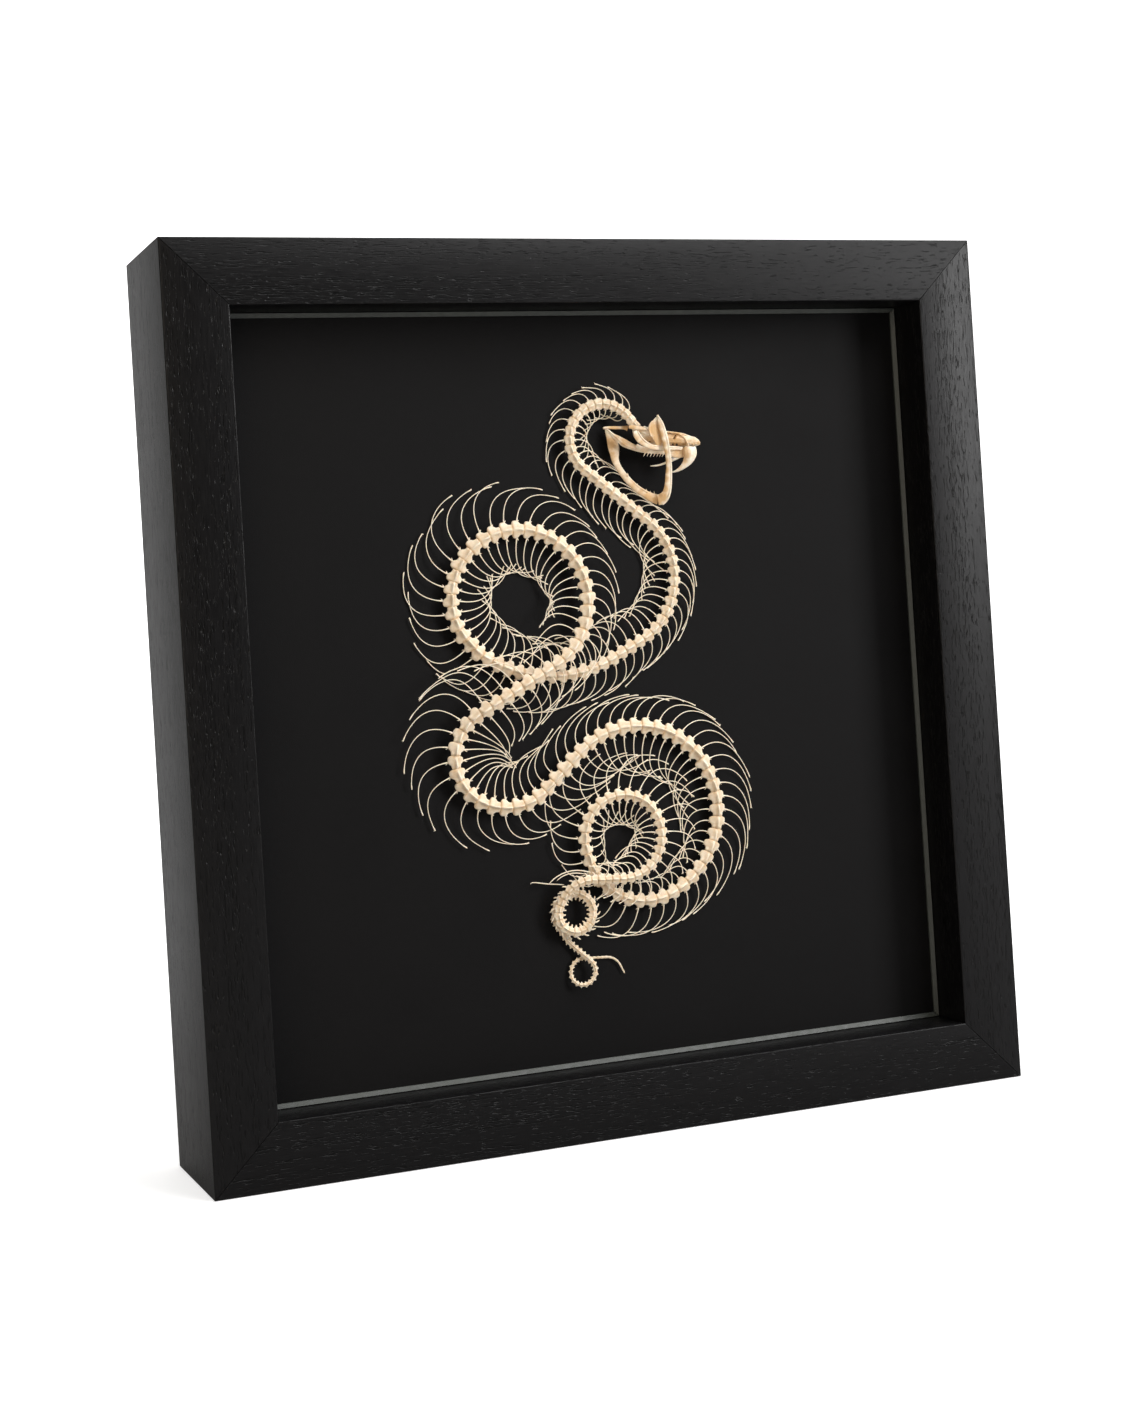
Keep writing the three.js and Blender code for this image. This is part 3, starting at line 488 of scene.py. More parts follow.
def half_section(width, wing, shoulder, crest, keel):
    """Half of a vertebra's section, from the crest round to the keel."""
    return [(0, crest), (0.08, crest - 0.03), (0.15, shoulder + 0.4 * (crest - shoulder)),
            (0.24, shoulder), (0.58 * width, 0.6 * shoulder + 0.4 * wing + 0.05),
            (0.86 * width, wing + 0.15), (width, wing), (0.88 * width, wing - 0.16),
            (0.55 * width, -0.30), (0.28, 0.09 - keel), (0, -keel)]


def add_shell(build, rings, painted_shades):
    """Rings of points joined to a closed shell, with each ring's painted shade."""
    points, faces, shades = build
    first = len(points)
    count = len(rings[0])
    for ring, painted_shade in zip(rings, painted_shades):
        points += ring
        shades += painted_shade if isinstance(painted_shade, list) else [painted_shade] * count
    for r in range(len(rings) - 1):
        for k in range(count):
            a = first + r * count + k
            b = first + r * count + (k + 1) % count
            faces.append([a, b, b + count, a + count])
    last = first + (len(rings) - 1) * count
    faces.append(list(range(first + count - 1, first - 1, -1)))
    faces.append(list(range(last, last + count)))


def add_vertebra(build, start, end, chance):
    """One vertebra between two joints, each a little unlike the next."""
    half = along(HALF_WIDTH, (start + end) / 2) * chance.uniform(0.93, 1.06)
    centre = along(SPINE_HEIGHT, (start + end) / 2)
    knobble = along(KNOBBLE, start)
    tall = chance.uniform(0.82, 1.12)
    rings = []
    painted_shades = []
    for share, width, wing, shoulder, crest, keel in VERTEBRA:
        s = start + share * (end - start)
        height = 0.35 * centre + 0.65 * along(SPINE_HEIGHT, s)
        width = 1 + (width - 1) * knobble
        side = half_section(width, wing, shoulder, crest * tall, keel)
        outline = side + [(-v, w) for v, w in side[-2:0:-1]]
        middle = beside(s, 0, height)
        left = left_of(s) * half * MM
        rings.append([middle + Vector((left.x * v, -w * half * MM, left.y * v))
                      for v, w in outline])
        joint = max(0.0, 1 - min(share, 1 - share) / JOINT_REACH)
        shade = [min(1.0, JOINT_SHADE * joint + painted_shade) for painted_shade in SHADE_ROUND]
        painted_shades.append(shade + shade[-2:0:-1])
    add_shell(build, rings, painted_shades)


def add_tube(build, centres, radii, painted_shade, sides=6):
    """A round tube through the centres, its ends drawn in."""
    rings = []
    for i, centre in enumerate(centres):
        run = (centres[min(i + 1, len(centres) - 1)] - centres[max(i - 1, 0)]).normalized()
        across = run.cross(Vector((0, 1, 0)))
        if across.length <= 0.05:
            across = run.cross(Vector((1, 0, 0)))
        across.normalize()
        out = across.cross(run)
        rings.append([centre + (across * math.cos(k * math.tau / sides)
                                + out * math.sin(k * math.tau / sides)) * radii[i] * MM
                      for k in range(sides)])
    add_shell(build, rings, [painted_shade] * len(rings))


# A rib: shares of its length and the radius there, with a small knob just before its tip.
RIB_STATIONS = [
    (0, 0.5), (0.03, 0.5), (0.06, 0.36), (0.11, 0.28), (0.2, 0.26), (0.32, 0.255), (0.43, 0.25),
    (0.54, 0.25), (0.65, 0.245), (0.76, 0.24), (0.86, 0.23), (0.945, 0.22), (0.965, 0.36),
    (0.985, 0.38), (1, 0.2)]
RIB_TAN = -0.1
RIB_ROOT = 0.8
RIB_DROP = 0.6
RIB_LANDS_AT = 0.7
INNER_BOW = 0.42
FLICK_FROM = 0.85
FLICK_GAIN = 2.6
HOOK_RADII = [0.34, 0.3, 0.12]
FORK_RADII = [0.22, 0.17, 0.1]
FORKED_SHARE = 0.6


def rib_place(s, side, out, trail, height, follows):
    """A place on a rib. Outside a bend the ribs follow the body round, inside they run on."""
    foot = s + trail if follows else s
    left = left_of(foot)
    place = route_point(foot) + left * side * out
    if not follows:
        place += Vector((left.y, -left.x)) * trail
    return on_board(place.x, place.y, height)


def add_rib(build, s, side, chance):
    """A rib from behind a vertebra's wing: out, back towards the tail, and down to the board."""
    half = along(HALF_WIDTH, s) * RIB_ROOT
    reach, sweep, turn = along(LEFT_RIBS if side > 0 else RIGHT_RIBS, s)
    reach *= chance.uniform(0.92, 1.06)
    sweep *= chance.uniform(0.84, 1.1)
    follows = bend_radius(s + 4) * side < 0
    first = half + chance.uniform(0.52, 0.62) * (reach - half)
    second = half + (0.82 + 0.3 * turn) * (reach - half)
    head = along(SPINE_HEIGHT, s) - RIB_DROP
    bed = along(RIB_BED, s) + chance.uniform(0.0, 0.7)
    flick = chance.uniform(-0.6, 2.0)
    lean, bow = (0.05, 0.3) if follows else (0.04, 0.28)
    centres = []
    for share, _ in RIB_STATIONS:
        back = 1 - share
        early, late, last = 3 * back * back * share, 3 * back * share * share, share ** 3
        out = back ** 3 * half + early * first + late * second + last * reach
        trail = (early * lean + late * bow + last) * sweep
        trail -= (0.0 if follows else INNER_BOW) * reach * share * back
        out += flick * max(0.0, share - FLICK_FROM) * FLICK_GAIN
        fall = min(1.0, share / RIB_LANDS_AT)
        height = head + (bed - head) * fall * fall * (3 - 2 * fall)
        centres.append(rib_place(s, side, out, trail, height, follows))
    add_tube(build, centres, [radius for _, radius in RIB_STATIONS], RIB_TAN)
    hook = (centres[3] - centres[1]).cross(Vector((0, side, 0))).normalized() * MM
    add_tube(build, [centres[1], centres[1] - hook * 0.5, centres[2] - hook], HOOK_RADII,
             RIB_TAN, 5)
    if chance.random() < FORKED_SHARE:
        tip = centres[-2]
        run = (centres[-1] - centres[-3]).normalized()
        fork = Matrix.Rotation(chance.choice((-1, 1)) * chance.uniform(0.7, 1.1), 3, "Y") @ run
        long = chance.uniform(0.5, 1.0) * MM
        add_tube(build, [tip, tip + fork * long * 0.5, tip + fork * long], FORK_RADII,
                 RIB_TAN, 5)


# Prongs of the tail: their length on the left, which is the inside of its first ring, and on the
# right. A prong leans forward on the left and back on the right.
FORWARD_LEAN = 0.25
THICKEST_PRONG = 0.42
PRONG_TAN = 0.2
PRONGS = [
    (838, 0.6, 0.9), (866, 1.0, 1.4), (905, 1.0, 1.1), (926, 1.0, 0.4), (940, 0.35, 0.35),
    (980, 0.3, 0.3), (985, 0, 0)]


def add_prong(build, s, side, chance):
    """A short prong on the side of a tail vertebra."""
    half = along(HALF_WIDTH, s)
    long = along(PRONGS, s)[0 if side > 0 else 1] * chance.uniform(0.8, 1.2)
    if long < 0.1:
        return
    height = along(SPINE_HEIGHT, s) - 0.15 * half
    back = FORWARD_LEAN if side > 0 else -long
    stations = [(0.5 * half, -0.2, 0), (0.95 * half, 0, -0.1),
                (half + 0.55 * long, 0.5 * back, -0.2), (half + long, back, -0.3)]
    centres = [beside(s - lean, side * out, height + drop) for out, lean, drop in stations]
    thick = min(THICKEST_PRONG, 0.32 * half)
    add_tube(build, centres, [thick * 1.5, thick * 1.2, thick, thick * 0.55], PRONG_TAN)


# The darkest painted shade, in the bored holes, goes to this near-black brown.
HOLE_SHADE = (0.1, 0.055, 0.028, 1)
# Dry bone: painted shade from the mesh, with random blotches and grit on top, mixes the lit colour
# towards the shaded one.
dry_bone, given, result = effect(
    "dry_bone",
    [("Place", "NodeSocketVector", None), ("Painted Shade", "NodeSocketFloat", 0.0),
     ("Light", "NodeSocketColor", (1, 1, 1, 1)), ("Shaded", "NodeSocketColor", (1, 1, 1, 1))],
    [("Color", "NodeSocketColor"), ("Roughness", "NodeSocketFloat"), ("Height", "NodeSocketFloat")])
blotch = speckle(dry_bone, scaled(dry_bone, given["Place"], 260, 260, 260), 3.0, 0.6)
grit = speckle(dry_bone, scaled(dry_bone, given["Place"], 1500, 1500, 1500), 3.0, 0.6)
pits = speckle(dry_bone, scaled(dry_bone, given["Place"], 2600, 2600, 2600), 1.0)
pits = graded(dry_bone, pits, 0.66, 0.74)
shade_and_blotch = combined(dry_bone, "ADD", given["Painted Shade"], graded(dry_bone, blotch, 0.35, 0.7, -0.1, 0.4))
shade_and_blotch = combined(dry_bone, "ADD", shade_and_blotch, graded(dry_bone, grit, 0.35, 0.7, -0.06, 0.1))
tone = between(dry_bone, graded(dry_bone, shade_and_blotch, 0.0, 1.0), given["Light"], given["Shaded"])
# Small pits are painted towards the shaded colour: painted shade in the pits.
tone = between(dry_bone, combined(dry_bone, "MULTIPLY", pits, 0.35), tone, given["Shaded"])
tone = between(dry_bone, graded(dry_bone, shade_and_blotch, 1.45, 1.9), tone, HOLE_SHADE)
dry_bone.links.new(tone, result["Color"])
dry_bone.links.new(graded(dry_bone, grit, 0.3, 0.7, 0.42, 0.6), result["Roughness"])
raised = combined(dry_bone, "MULTIPLY", grit, 0.7)
dry_bone.links.new(combined(dry_bone, "SUBTRACT", raised, pits), result["Height"])


def bone_finish(name, light, shaded, relief):
    """Cleaned dry bone whose painted shade, read from the mesh, mixes its lit colour towards its
    shaded colour.
    """
    material, tree, place = new_finish(name)
    painted_shade = add_node(tree, "ShaderNodeAttribute", attribute_name="painted_shade").outputs["Fac"]
    bone = use_effect(tree, dry_bone,
                      {"Place": place, "Painted Shade": painted_shade, "Light": light, "Shaded": shaded})
    surface(tree, bone["Color"], bone["Roughness"], bone["Height"], relief, Subsurface_Weight=0.2,
            Subsurface_Radius=(1, 0.7, 0.45), Subsurface_Scale=0.0004)
    return material


IVORY = (0.9, 0.79, 0.63, 1)
body_bone = bone_finish("bone_body", IVORY, (0.66, 0.47, 0.28, 1), 0.00006)


def shade_mesh(mesh, shades):
    """How much painted shade the bone has at each point, kept on the mesh for its finish."""
    painted_shade = mesh.attributes.new("painted_shade", "FLOAT", "POINT")
    painted_shade.data.foreach_set("value", shades)


# The last ribs lie along the start of the tail, and a loose one sticks out from under it: each has
# its height off the board and the places it runs through.
LAST_RIBS = [
    (9, [(-11, -82), (-15.5, -80.4), (-20.5, -79.9), (-25.5, -80.9), (-29.6, -83), (-31.7, -85)]),
    (8.4, [(-13.5, -82.4), (-18, -81.2), (-22.5, -81.2), (-26, -82.4), (-28, -84)]),
    (2.2, [(-24, -86), (-28, -85.3), (-32, -84.9), (-36, -83.9), (-39.8, -83.2), (-40.2, -84.2)])]
starts = []
s = 0.0
while s < BODY_LENGTH - 1:
    starts.append(s)
    s += along(VERTEBRA_PITCH, s)
starts.append(BODY_LENGTH)
chance = random.Random(7)
first = 0
for length_name, length_end in LENGTHS.items():
    build = ([], [], [])
    while first < len(starts) - 1 and starts[first] < length_end:
        start, end = starts[first], starts[first + 1]
        process = start + WINGS_AT * (end - start)
        add_vertebra(build, start, end, chance)
        for side in (-1, 1):
            if RIB_FIRST <= process <= RIB_LAST:
                add_rib(build, process, side, chance)
            elif process > RIB_LAST:
                add_prong(build, process, side, chance)
        first += 1
    if length_name == "trunk_8":
        for high, row in LAST_RIBS:
            add_tube(build, [on_board(x, z, high) for x, z in row],
                     [0.3] * (len(row) - 1) + [0.16], 0.0)
    points, faces, shades = build
    bones = make_piece("bones_" + length_name, points, faces, body_bone, "bone", length_name)
    shade_mesh(bones.data, shades)
    smooth = bones.modifiers.new("rounded", "SUBSURF")
    smooth.levels = 1
    smooth.render_levels = 1

# ---- skull ----
# A viper's skull with its jaws agape, seen from its right side. Its bones are light struts and
# blades, held by dried ligament: each is built up from rods, fused, smoothed and bored.
# Each skull bone gets spots of painted shade on its hollows and on the sides turned from the light.
SKULL_MIDDLE = 9
BONE_VOXEL = 0.00014
FINE_VOXEL = 0.0001
TOOTH_RADII = [0.38, 0.3, 0.08]
DARKEST_HOLE_SHADE = 2.0


def smooth_row(row, steps=4):
    """The row of numbers eased through its stations."""
    out = []
    for i in range(len(row) - 1):
        p0, p1, p2, p3 = row[max(i - 1, 0)], row[i], row[i + 1], row[min(i + 2, len(row) - 1)]
        for k in range(steps):
            t = k / steps
            out.append(tuple(0.5 * (2 * b + (c - a) * t + (2 * a - 5 * b + 4 * c - d) * t * t
                                    + (3 * b - a - 3 * c + d) * t ** 3)
                             for a, b, c, d in zip(p0, p1, p2, p3)))
    return out + [tuple(row[-1])]


def add_strut(build, stations, sides=12):
    """A bone strut: each station is x, z, height, half width across it and half depth."""
    row = smooth_row(stations)
    centres = [on_board(*station[:3]) for station in row]
    rings = []
    for i, (x, z, height, wide, deep) in enumerate(row):
        run = (centres[min(i + 1, len(row) - 1)] - centres[max(i - 1, 0)]).normalized()
        across = run.cross(Vector((0, 1, 0))).normalized()
        out = across.cross(run)
        rings.append([centres[i] + (across * max(wide, 0.06) * math.cos(k * math.tau / sides)
                                    + out * max(deep, 0.06) * math.sin(k * math.tau / sides)) * MM
                      for k in range(sides)])
    add_shell(build, rings, [0.0] * len(rings))


def struts(*rows):
    """The struts that make up a bone."""
    build = ([], [], [])
    for stations in rows:
        add_strut(build, stations)
    return build


def add_knob(build, x, z, height, radius):
    """A rounded swelling."""
    rings = []
    for j in range(1, 6):
        tilt = math.pi * j / 6
        rings.append([on_board(x + radius * math.sin(tilt) * math.cos(k * math.tau / 10),
                               z + radius * math.sin(tilt) * math.sin(k * math.tau / 10),
                               height + radius * math.cos(tilt)) for k in range(10)])
    add_shell(build, rings, [0.0] * len(rings))


def add_teeth(build, places, lean, long, height):
    """Small backward teeth at places along a jaw."""
    for x, z in places:
        root = on_board(x - lean[0] * 0.6, z - lean[1] * 0.6, height)
        tip = on_board(x + lean[0] * long, z + lean[1] * long, height + 0.1)
        add_tube(build, [root, on_board(x, z, height), tip], TOOTH_RADII, 0.0)


def plotted(point):
    """The x and z at which a point of the scene lines up from the viewpoint."""
    height = BOARD_FROM_FRONT - FRAME_DEEP / 2 - point.y / MM
    nearness = (VIEW_DISTANCE - height) / (VIEW_DISTANCE - PLOT_HEIGHT)
    return (VIEWPOINT[0] + (point.x / MM - VIEWPOINT[0]) / nearness,
            VIEWPOINT[1] + (point.z / MM - FRAME_HIGH / 2 - VIEWPOINT[1]) / nearness)


skull_bone = bone_finish("bone_skull", IVORY, (0.64, 0.4, 0.185, 1), 0.00003)


def fuse_bone(node, build, finish=skull_bone, slot="bone", painted_shades=(), holes=(), voxel=BONE_VOXEL):
    """The struts fused to one bone; each spot of painted shade is x, z, radius and strength, each
    hole x, z, radius and depth, dented in and painted dark as shade.
    """
    name = "bone_" + node
    points, faces, _ = build
    rough = make_piece(name + "_struts", points, faces, finish, slot)
    fuse = rough.modifiers.new("fused", "REMESH")
    fuse.mode = "VOXEL"
    fuse.voxel_size = voxel
    soften = rough.modifiers.new("softened", "SMOOTH")
    soften.factor = 0.5
    soften.iterations = 4
    bpy.context.view_layer.update()
    fused = rough.evaluated_get(bpy.context.evaluated_depsgraph_get())
    mesh = bpy.data.meshes.new_from_object(fused)
    bpy.data.objects.remove(rough)
    mesh.name = name
    shades = []
    for vertex in mesh.vertices:
        x, z = plotted(vertex.co)
        front = vertex.normal.y < -0.2
        shade = 0.0
        for tx, tz, radius, strength in painted_shades:
            near = max(0.0, 1 - math.hypot(x - tx, z - tz) / radius)
            shade = max(shade, strength * min(1.0, 1.6 * near))
        for hx, hz, radius, depth in holes:
            near = math.hypot(x - hx, z - hz) / radius
            if near < 1 and front:
                vertex.co.y += depth * MM * min(1.0, 2.2 * (1 - near))
                shade = max(shade, min(DARKEST_HOLE_SHADE, 5 * (1 - near)))
        shades.append(shade)
    mesh.materials.clear()
    mesh.materials.append(finish)
    mesh.shade_smooth()
    shade_mesh(mesh, shades)
    piece = bpy.data.objects.new(name, mesh)
    scene.collection.objects.link(piece)
    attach(piece, "root")
    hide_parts(node)


def far_side(stations):
    """The same strut as far behind the skull's middle plane as the near one stands before it."""
    return [(x, z, 2 * SKULL_MIDDLE - height, *half) for x, z, height, *half in stations]


# Braincase and snout: one long box of bone with a rim along its roof.
build = struts([
    (23.6, 113.4, 9, 2.2, 1.8), (24.4, 112, 9, 3, 2.8), (25.6, 110.8, 9, 3.6, 3.7),
    (28, 109.9, 9, 3.9, 4.1), (32, 109.3, 9, 3.9, 4.1), (36, 108.4, 9, 3.5, 3.5),
    (39, 108, 9, 3.5, 3.6), (42, 107.6, 9, 3.2, 4.3), (46, 107.2, 9, 2.9, 4.3),
    (49.5, 106.6, 9, 2.4, 3.2), (52.5, 106, 9, 1.8, 2), (54.1, 105.4, 9, 0.7, 0.8)])
add_knob(build, 24.9, 113.1, 11.4, 1.1)
add_knob(build, 27.6, 113.3, 11.6, 0.9)
add_strut(build, [
    (24.6, 112.4, 11.6, 1, 0.9), (27.2, 111.6, 12.7, 1.2, 0.8), (29.8, 110.6, 13.1, 1, 0.6)])
add_strut(build, [
    (36.5, 111.4, 11.6, 0.5, 0.7), (39.6, 111, 12.4, 0.45, 0.7), (43, 110.5, 12.9, 0.45, 0.7),
    (46.4, 109.9, 12.6, 0.45, 0.7), (49.4, 108.7, 11.7, 0.45, 0.6), (52, 108, 10.6, 0.4, 0.6),
    (53.6, 106.2, 9.8, 0.4, 0.5), (54, 105.1, 9.4, 0.35, 0.5)])
add_strut(build, [
    (43.4, 110.4, 12.8, 0.35, 0.5), (46, 109, 13.4, 0.4, 0.5), (47.6, 107, 13.3, 0.4, 0.5),
    (48.4, 104.6, 12.8, 0.45, 0.6)])
add_strut(build, [
    (49.4, 108.4, 11.6, 0.3, 0.4), (51, 106.8, 11.4, 0.3, 0.4), (50.9, 104.8, 11.2, 0.35, 0.4)])
fuse_bone("cranium", build, painted_shades=[
    (29.5, 107.4, 3.6, 0.7), (33, 112, 3.6, 0.6), (42.5, 108, 6.6, 0.9), (40, 106.6, 4, 0.7),
    (51, 106.4, 3, 0.6), (46.4, 106, 3, 0.7), (25, 112.4, 2.6, 0.5), (53.6, 105.8, 1.6, 0.7)],
    holes=[
    (41.8, 108.1, 0.6, 1.1), (42.2, 108.7, 0.6, 1.1), (42.6, 109.3, 0.5, 0.9),
    (41.2, 105.4, 0.8, 1), (43, 105.3, 0.8, 1), (29.8, 107, 0.6, 0.6)])

# Supratemporals: thin plates along the sides of the braincase that the quadrates hang from.
supratemporal = [
    (19.8, 113.9, 12.6, 0.7, 0.4), (22, 113.7, 12.9, 0.95, 0.45), (25, 113.2, 13.4, 0.9, 0.45),
    (28.5, 112.4, 13.9, 0.5, 0.35)]
for side, stations in [("right", supratemporal), ("left", far_side(supratemporal))]:
    fuse_bone("supratemporal_" + side, struts(stations), painted_shades=[
        (21, 113.8, 3.4, 0.9), (26, 113, 3, 0.6)])

# Ectopterygoids: long bars with a flat root, which push the fangs forward.
ectopterygoid = [
    (22.8, 112, 13.2, 1, 0.45), (23.9, 109.2, 14, 1.6, 0.5), (25.9, 107, 14.3, 1.5, 0.5),
    (28.6, 105.4, 14.2, 1.3, 0.55), (31.6, 104.4, 13.6, 1.15, 0.55), (36, 103.9, 12.9, 0.95, 0.5),
    (42, 103.6, 12.9, 0.75, 0.5), (45.2, 103.4, 13, 0.7, 0.5)]
edge = [
    (24.2, 112, 13.8, 0.3, 0.35), (25.3, 109.8, 14.5, 0.4, 0.35), (27, 107.8, 14.8, 0.4, 0.35),
    (29, 106.3, 14.7, 0.4, 0.35), (31, 105.3, 14.2, 0.4, 0.35), (36, 104.8, 13.3, 0.35, 0.35),
    (42, 104.3, 13.3, 0.35, 0.35), (45.6, 103.9, 13.3, 0.3, 0.35)]
for side, stations, ridge in [("right", ectopterygoid, edge),
                              ("left", far_side(ectopterygoid), far_side(edge))]:
    fuse_bone("ectopterygoid_" + side, struts(stations, ridge), painted_shades=[
        (23.2, 109, 2.6, 0.6), (25.6, 106.2, 2.6, 0.5), (30, 103.6, 3, 0.4)])

# Pterygoids and palatines: toothed bars of the palate; the far one runs back to its quadrate.
PALATE_TEETH = [
    (27, 101.9), (28.6, 101.8), (30.2, 101.7), (31.8, 101.6), (33.3, 101.5), (34.7, 101.4),
    (36, 101.4)]
build = struts([
    (23, 105.6, 11.2, 0.8, 0.5), (26, 103.7, 11.2, 1.3, 0.55), (30, 102.8, 11.2, 1.15, 0.6),
    (36, 102.3, 11.3, 1.1, 0.55), (40, 101.6, 11.8, 1.8, 0.5), (44, 101.5, 12, 2.2, 0.5),
    (47.4, 101.6, 12, 1.9, 0.5)])
add_teeth(build, PALATE_TEETH, (-0.5, -0.87), 1.7, 11.2)
fuse_bone("pterygoid_right", build, painted_shades=[
    (27, 103.6, 3, 0.4), (43.5, 101.2, 5.5, 0.75)], voxel=FINE_VOXEL)
build = struts([
    (9.8, 112.6, 6.6, 0.5, 0.45), (12, 110.4, 6.6, 0.9, 0.5), (14.5, 108.6, 6.6, 1.5, 0.5),
    (17.2, 106.8, 6.7, 1.85, 0.5), (21, 105, 6.8, 1.5, 0.55), (25, 103.6, 6.8, 1.3, 0.6),
    (30, 102.9, 6.8, 1.1, 0.6), (36, 102.4, 6.8, 1, 0.55), (43, 102.7, 6.8, 0.7, 0.45)], [
    (9.4, 113, 6.9, 0.35, 0.4), (12.4, 110.4, 7.1, 0.35, 0.35), (15, 108, 7.1, 0.4, 0.35),
    (18, 105.6, 7.2, 0.4, 0.35), (22, 104.1, 7.2, 0.35, 0.35), (26, 102.7, 7.1, 0.3, 0.3)])
add_teeth(build, PALATE_TEETH, (-0.5, -0.87), 1.4, 6.8)
fuse_bone("pterygoid_left", build, painted_shades=[
    (17.5, 107.4, 3.2, 0.75), (13.6, 109.4, 2.2, 0.5), (22, 105, 3, 0.4)], voxel=FINE_VOXEL)

# Quadrates: the struts that carry the lower jaws. The far one reaches back as a rod, the near one
# stands up as a thin plate.
build = struts([
    (19.2, 113.3, 5.2, 1.4, 0.55), (17.4, 113.6, 5.1, 0.8, 0.55), (13, 113.7, 5, 0.75, 0.55),
    (9.6, 113.8, 4.9, 0.65, 0.6), (7.5, 113.7, 4.9, 0.55, 0.6)])
fuse_bone("quadrate_left", build, painted_shades=[
    (18.6, 112.8, 4, 1.0), (13, 113.4, 4.4, 0.9), (8.6, 113.4, 2, 0.4)])
build = struts([
    (34.6, 105.6, 13.9, 2, 0.35), (34, 108.4, 14.3, 2.7, 0.4), (33.1, 111.4, 14.6, 3.2, 0.4),
    (32.9, 113.6, 14.7, 3.1, 0.4), (33.4, 115.8, 14.9, 2, 0.4), (33.9, 117.8, 15.1, 0.7, 0.4)], [
    (30.4, 109.4, 14.8, 0.3, 0.3), (29.7, 112.4, 15, 0.35, 0.35), (30.2, 114.6, 15.1, 0.4, 0.35),
    (31.6, 116.2, 15.2, 0.35, 0.35)])
fuse_bone("quadrate_right", build, painted_shades=[(32.4, 112.2, 4.6, 1.0), (33.4, 108, 4.4, 0.9)])

# Maxillae: short deep blocks, each with a long hollow fang folded half back.
fang_bone = bone_finish("bone_fang", (0.93, 0.84, 0.7, 1), (0.64, 0.42, 0.22, 1), 0.000015)
build = struts([
    (49, 104, 13.4, 2.8, 1.4), (49, 102.6, 13.6, 3.1, 1.6), (49, 101, 13.7, 3, 1.6),
    (48.6, 99.4, 13.6, 2.8, 1.4), (47.5, 97.6, 13.2, 2.2, 1.1), (45.5, 95.6, 12.6, 1.35, 0.9),
    (43, 94, 11.9, 0.8, 0.7), (40.8, 93.2, 11.1, 0.45, 0.45), (38.6, 92.9, 10.3, 0.2, 0.2)], [
    (51.4, 104.2, 14, 0.5, 0.5), (51.9, 102.4, 14.4, 0.5, 0.5), (51.5, 100, 14.5, 0.55, 0.5),
    (50, 97.9, 14, 0.5, 0.5), (47.8, 96.1, 13.4, 0.45, 0.4)])
fuse_bone("maxilla_right", build, fang_bone, "fang_bone", painted_shades=[
    (46.4, 102.6, 3.4, 1.0), (46.8, 100.6, 3, 1.0), (46, 98.4, 2.4, 0.8), (43.4, 95, 1.6, 0.4)],
    voxel=FINE_VOXEL)
build = struts([
    (46.5, 103.6, 4.6, 1.7, 1.4), (45.8, 101.9, 4.5, 2.2, 1.4), (43.8, 100.6, 4.6, 1.5, 1.2),
    (41, 99, 5, 0.95, 0.85), (37, 97.3, 5.6, 0.6, 0.55), (33, 96.3, 6, 0.42, 0.42),
    (29.2, 96.1, 6.3, 0.2, 0.2)])
fuse_bone("maxilla_left", build, fang_bone, "fang_bone", painted_shades=[
    (44.5, 101, 3.4, 0.85)], voxel=FINE_VOXEL)

# Lower jaws: long blades, broad behind where muscle held them, with small teeth near the chin.
build = ([], [], [])
add_strut(build, [
    (8.8, 113.2, 2.8, 0.6, 0.7), (9.9, 110.6, 2.9, 1.4, 0.7), (11.3, 107.4, 3.2, 2.45, 0.7),
    (11.9, 105, 3.5, 2.75, 0.75), (12.1, 102.6, 3.8, 2.35, 0.8), (12.3, 99.6, 4.2, 1.8, 0.85),
    (13.4, 96.6, 4.7, 1.5, 0.85), (15.2, 93.6, 5.2, 1.5, 0.85), (17.2, 91, 5.7, 1.6, 0.85),
    (19.6, 88.4, 6.1, 1.6, 0.85), (22.4, 85.9, 6.6, 1.75, 0.85), (25.6, 83.8, 7.1, 1.8, 0.85),
    (28.6, 82.1, 7.6, 2.1, 0.75), (32, 80.9, 8.2, 2.3, 0.6)], 16)
add_strut(build, [
    (9.5, 112.4, 3.3, 0.3, 0.4), (12.6, 108.4, 3.8, 0.35, 0.4), (13.9, 105.6, 4, 0.4, 0.4),
    (13.4, 101.5, 4.4, 0.4, 0.4), (13.6, 98.8, 4.9, 0.4, 0.4), (15.2, 95.4, 5.5, 0.4, 0.4),
    (18.4, 91.4, 6.2, 0.4, 0.4), (22.4, 87.4, 7.1, 0.4, 0.4), (27, 84.4, 7.9, 0.4, 0.4)])
add_teeth(build, [(18, 92.4), (22.4, 87.6), (26.6, 85), (28.4, 84.1), (30.3, 83.8)],
          (-0.1, 1), 1.15, 6.9)
fuse_bone("mandible_left", build, painted_shades=[
    (10.2, 107, 5, 0.9), (10.6, 101, 3.6, 0.7), (13, 95, 3, 0.5), (16, 91, 3.6, 0.6),
    (20, 86.6, 4.4, 0.7), (24, 84, 4, 0.6), (27.6, 82.2, 4.6, 0.9), (31.6, 80.8, 4.4, 1.0)])
build = ([], [], [])
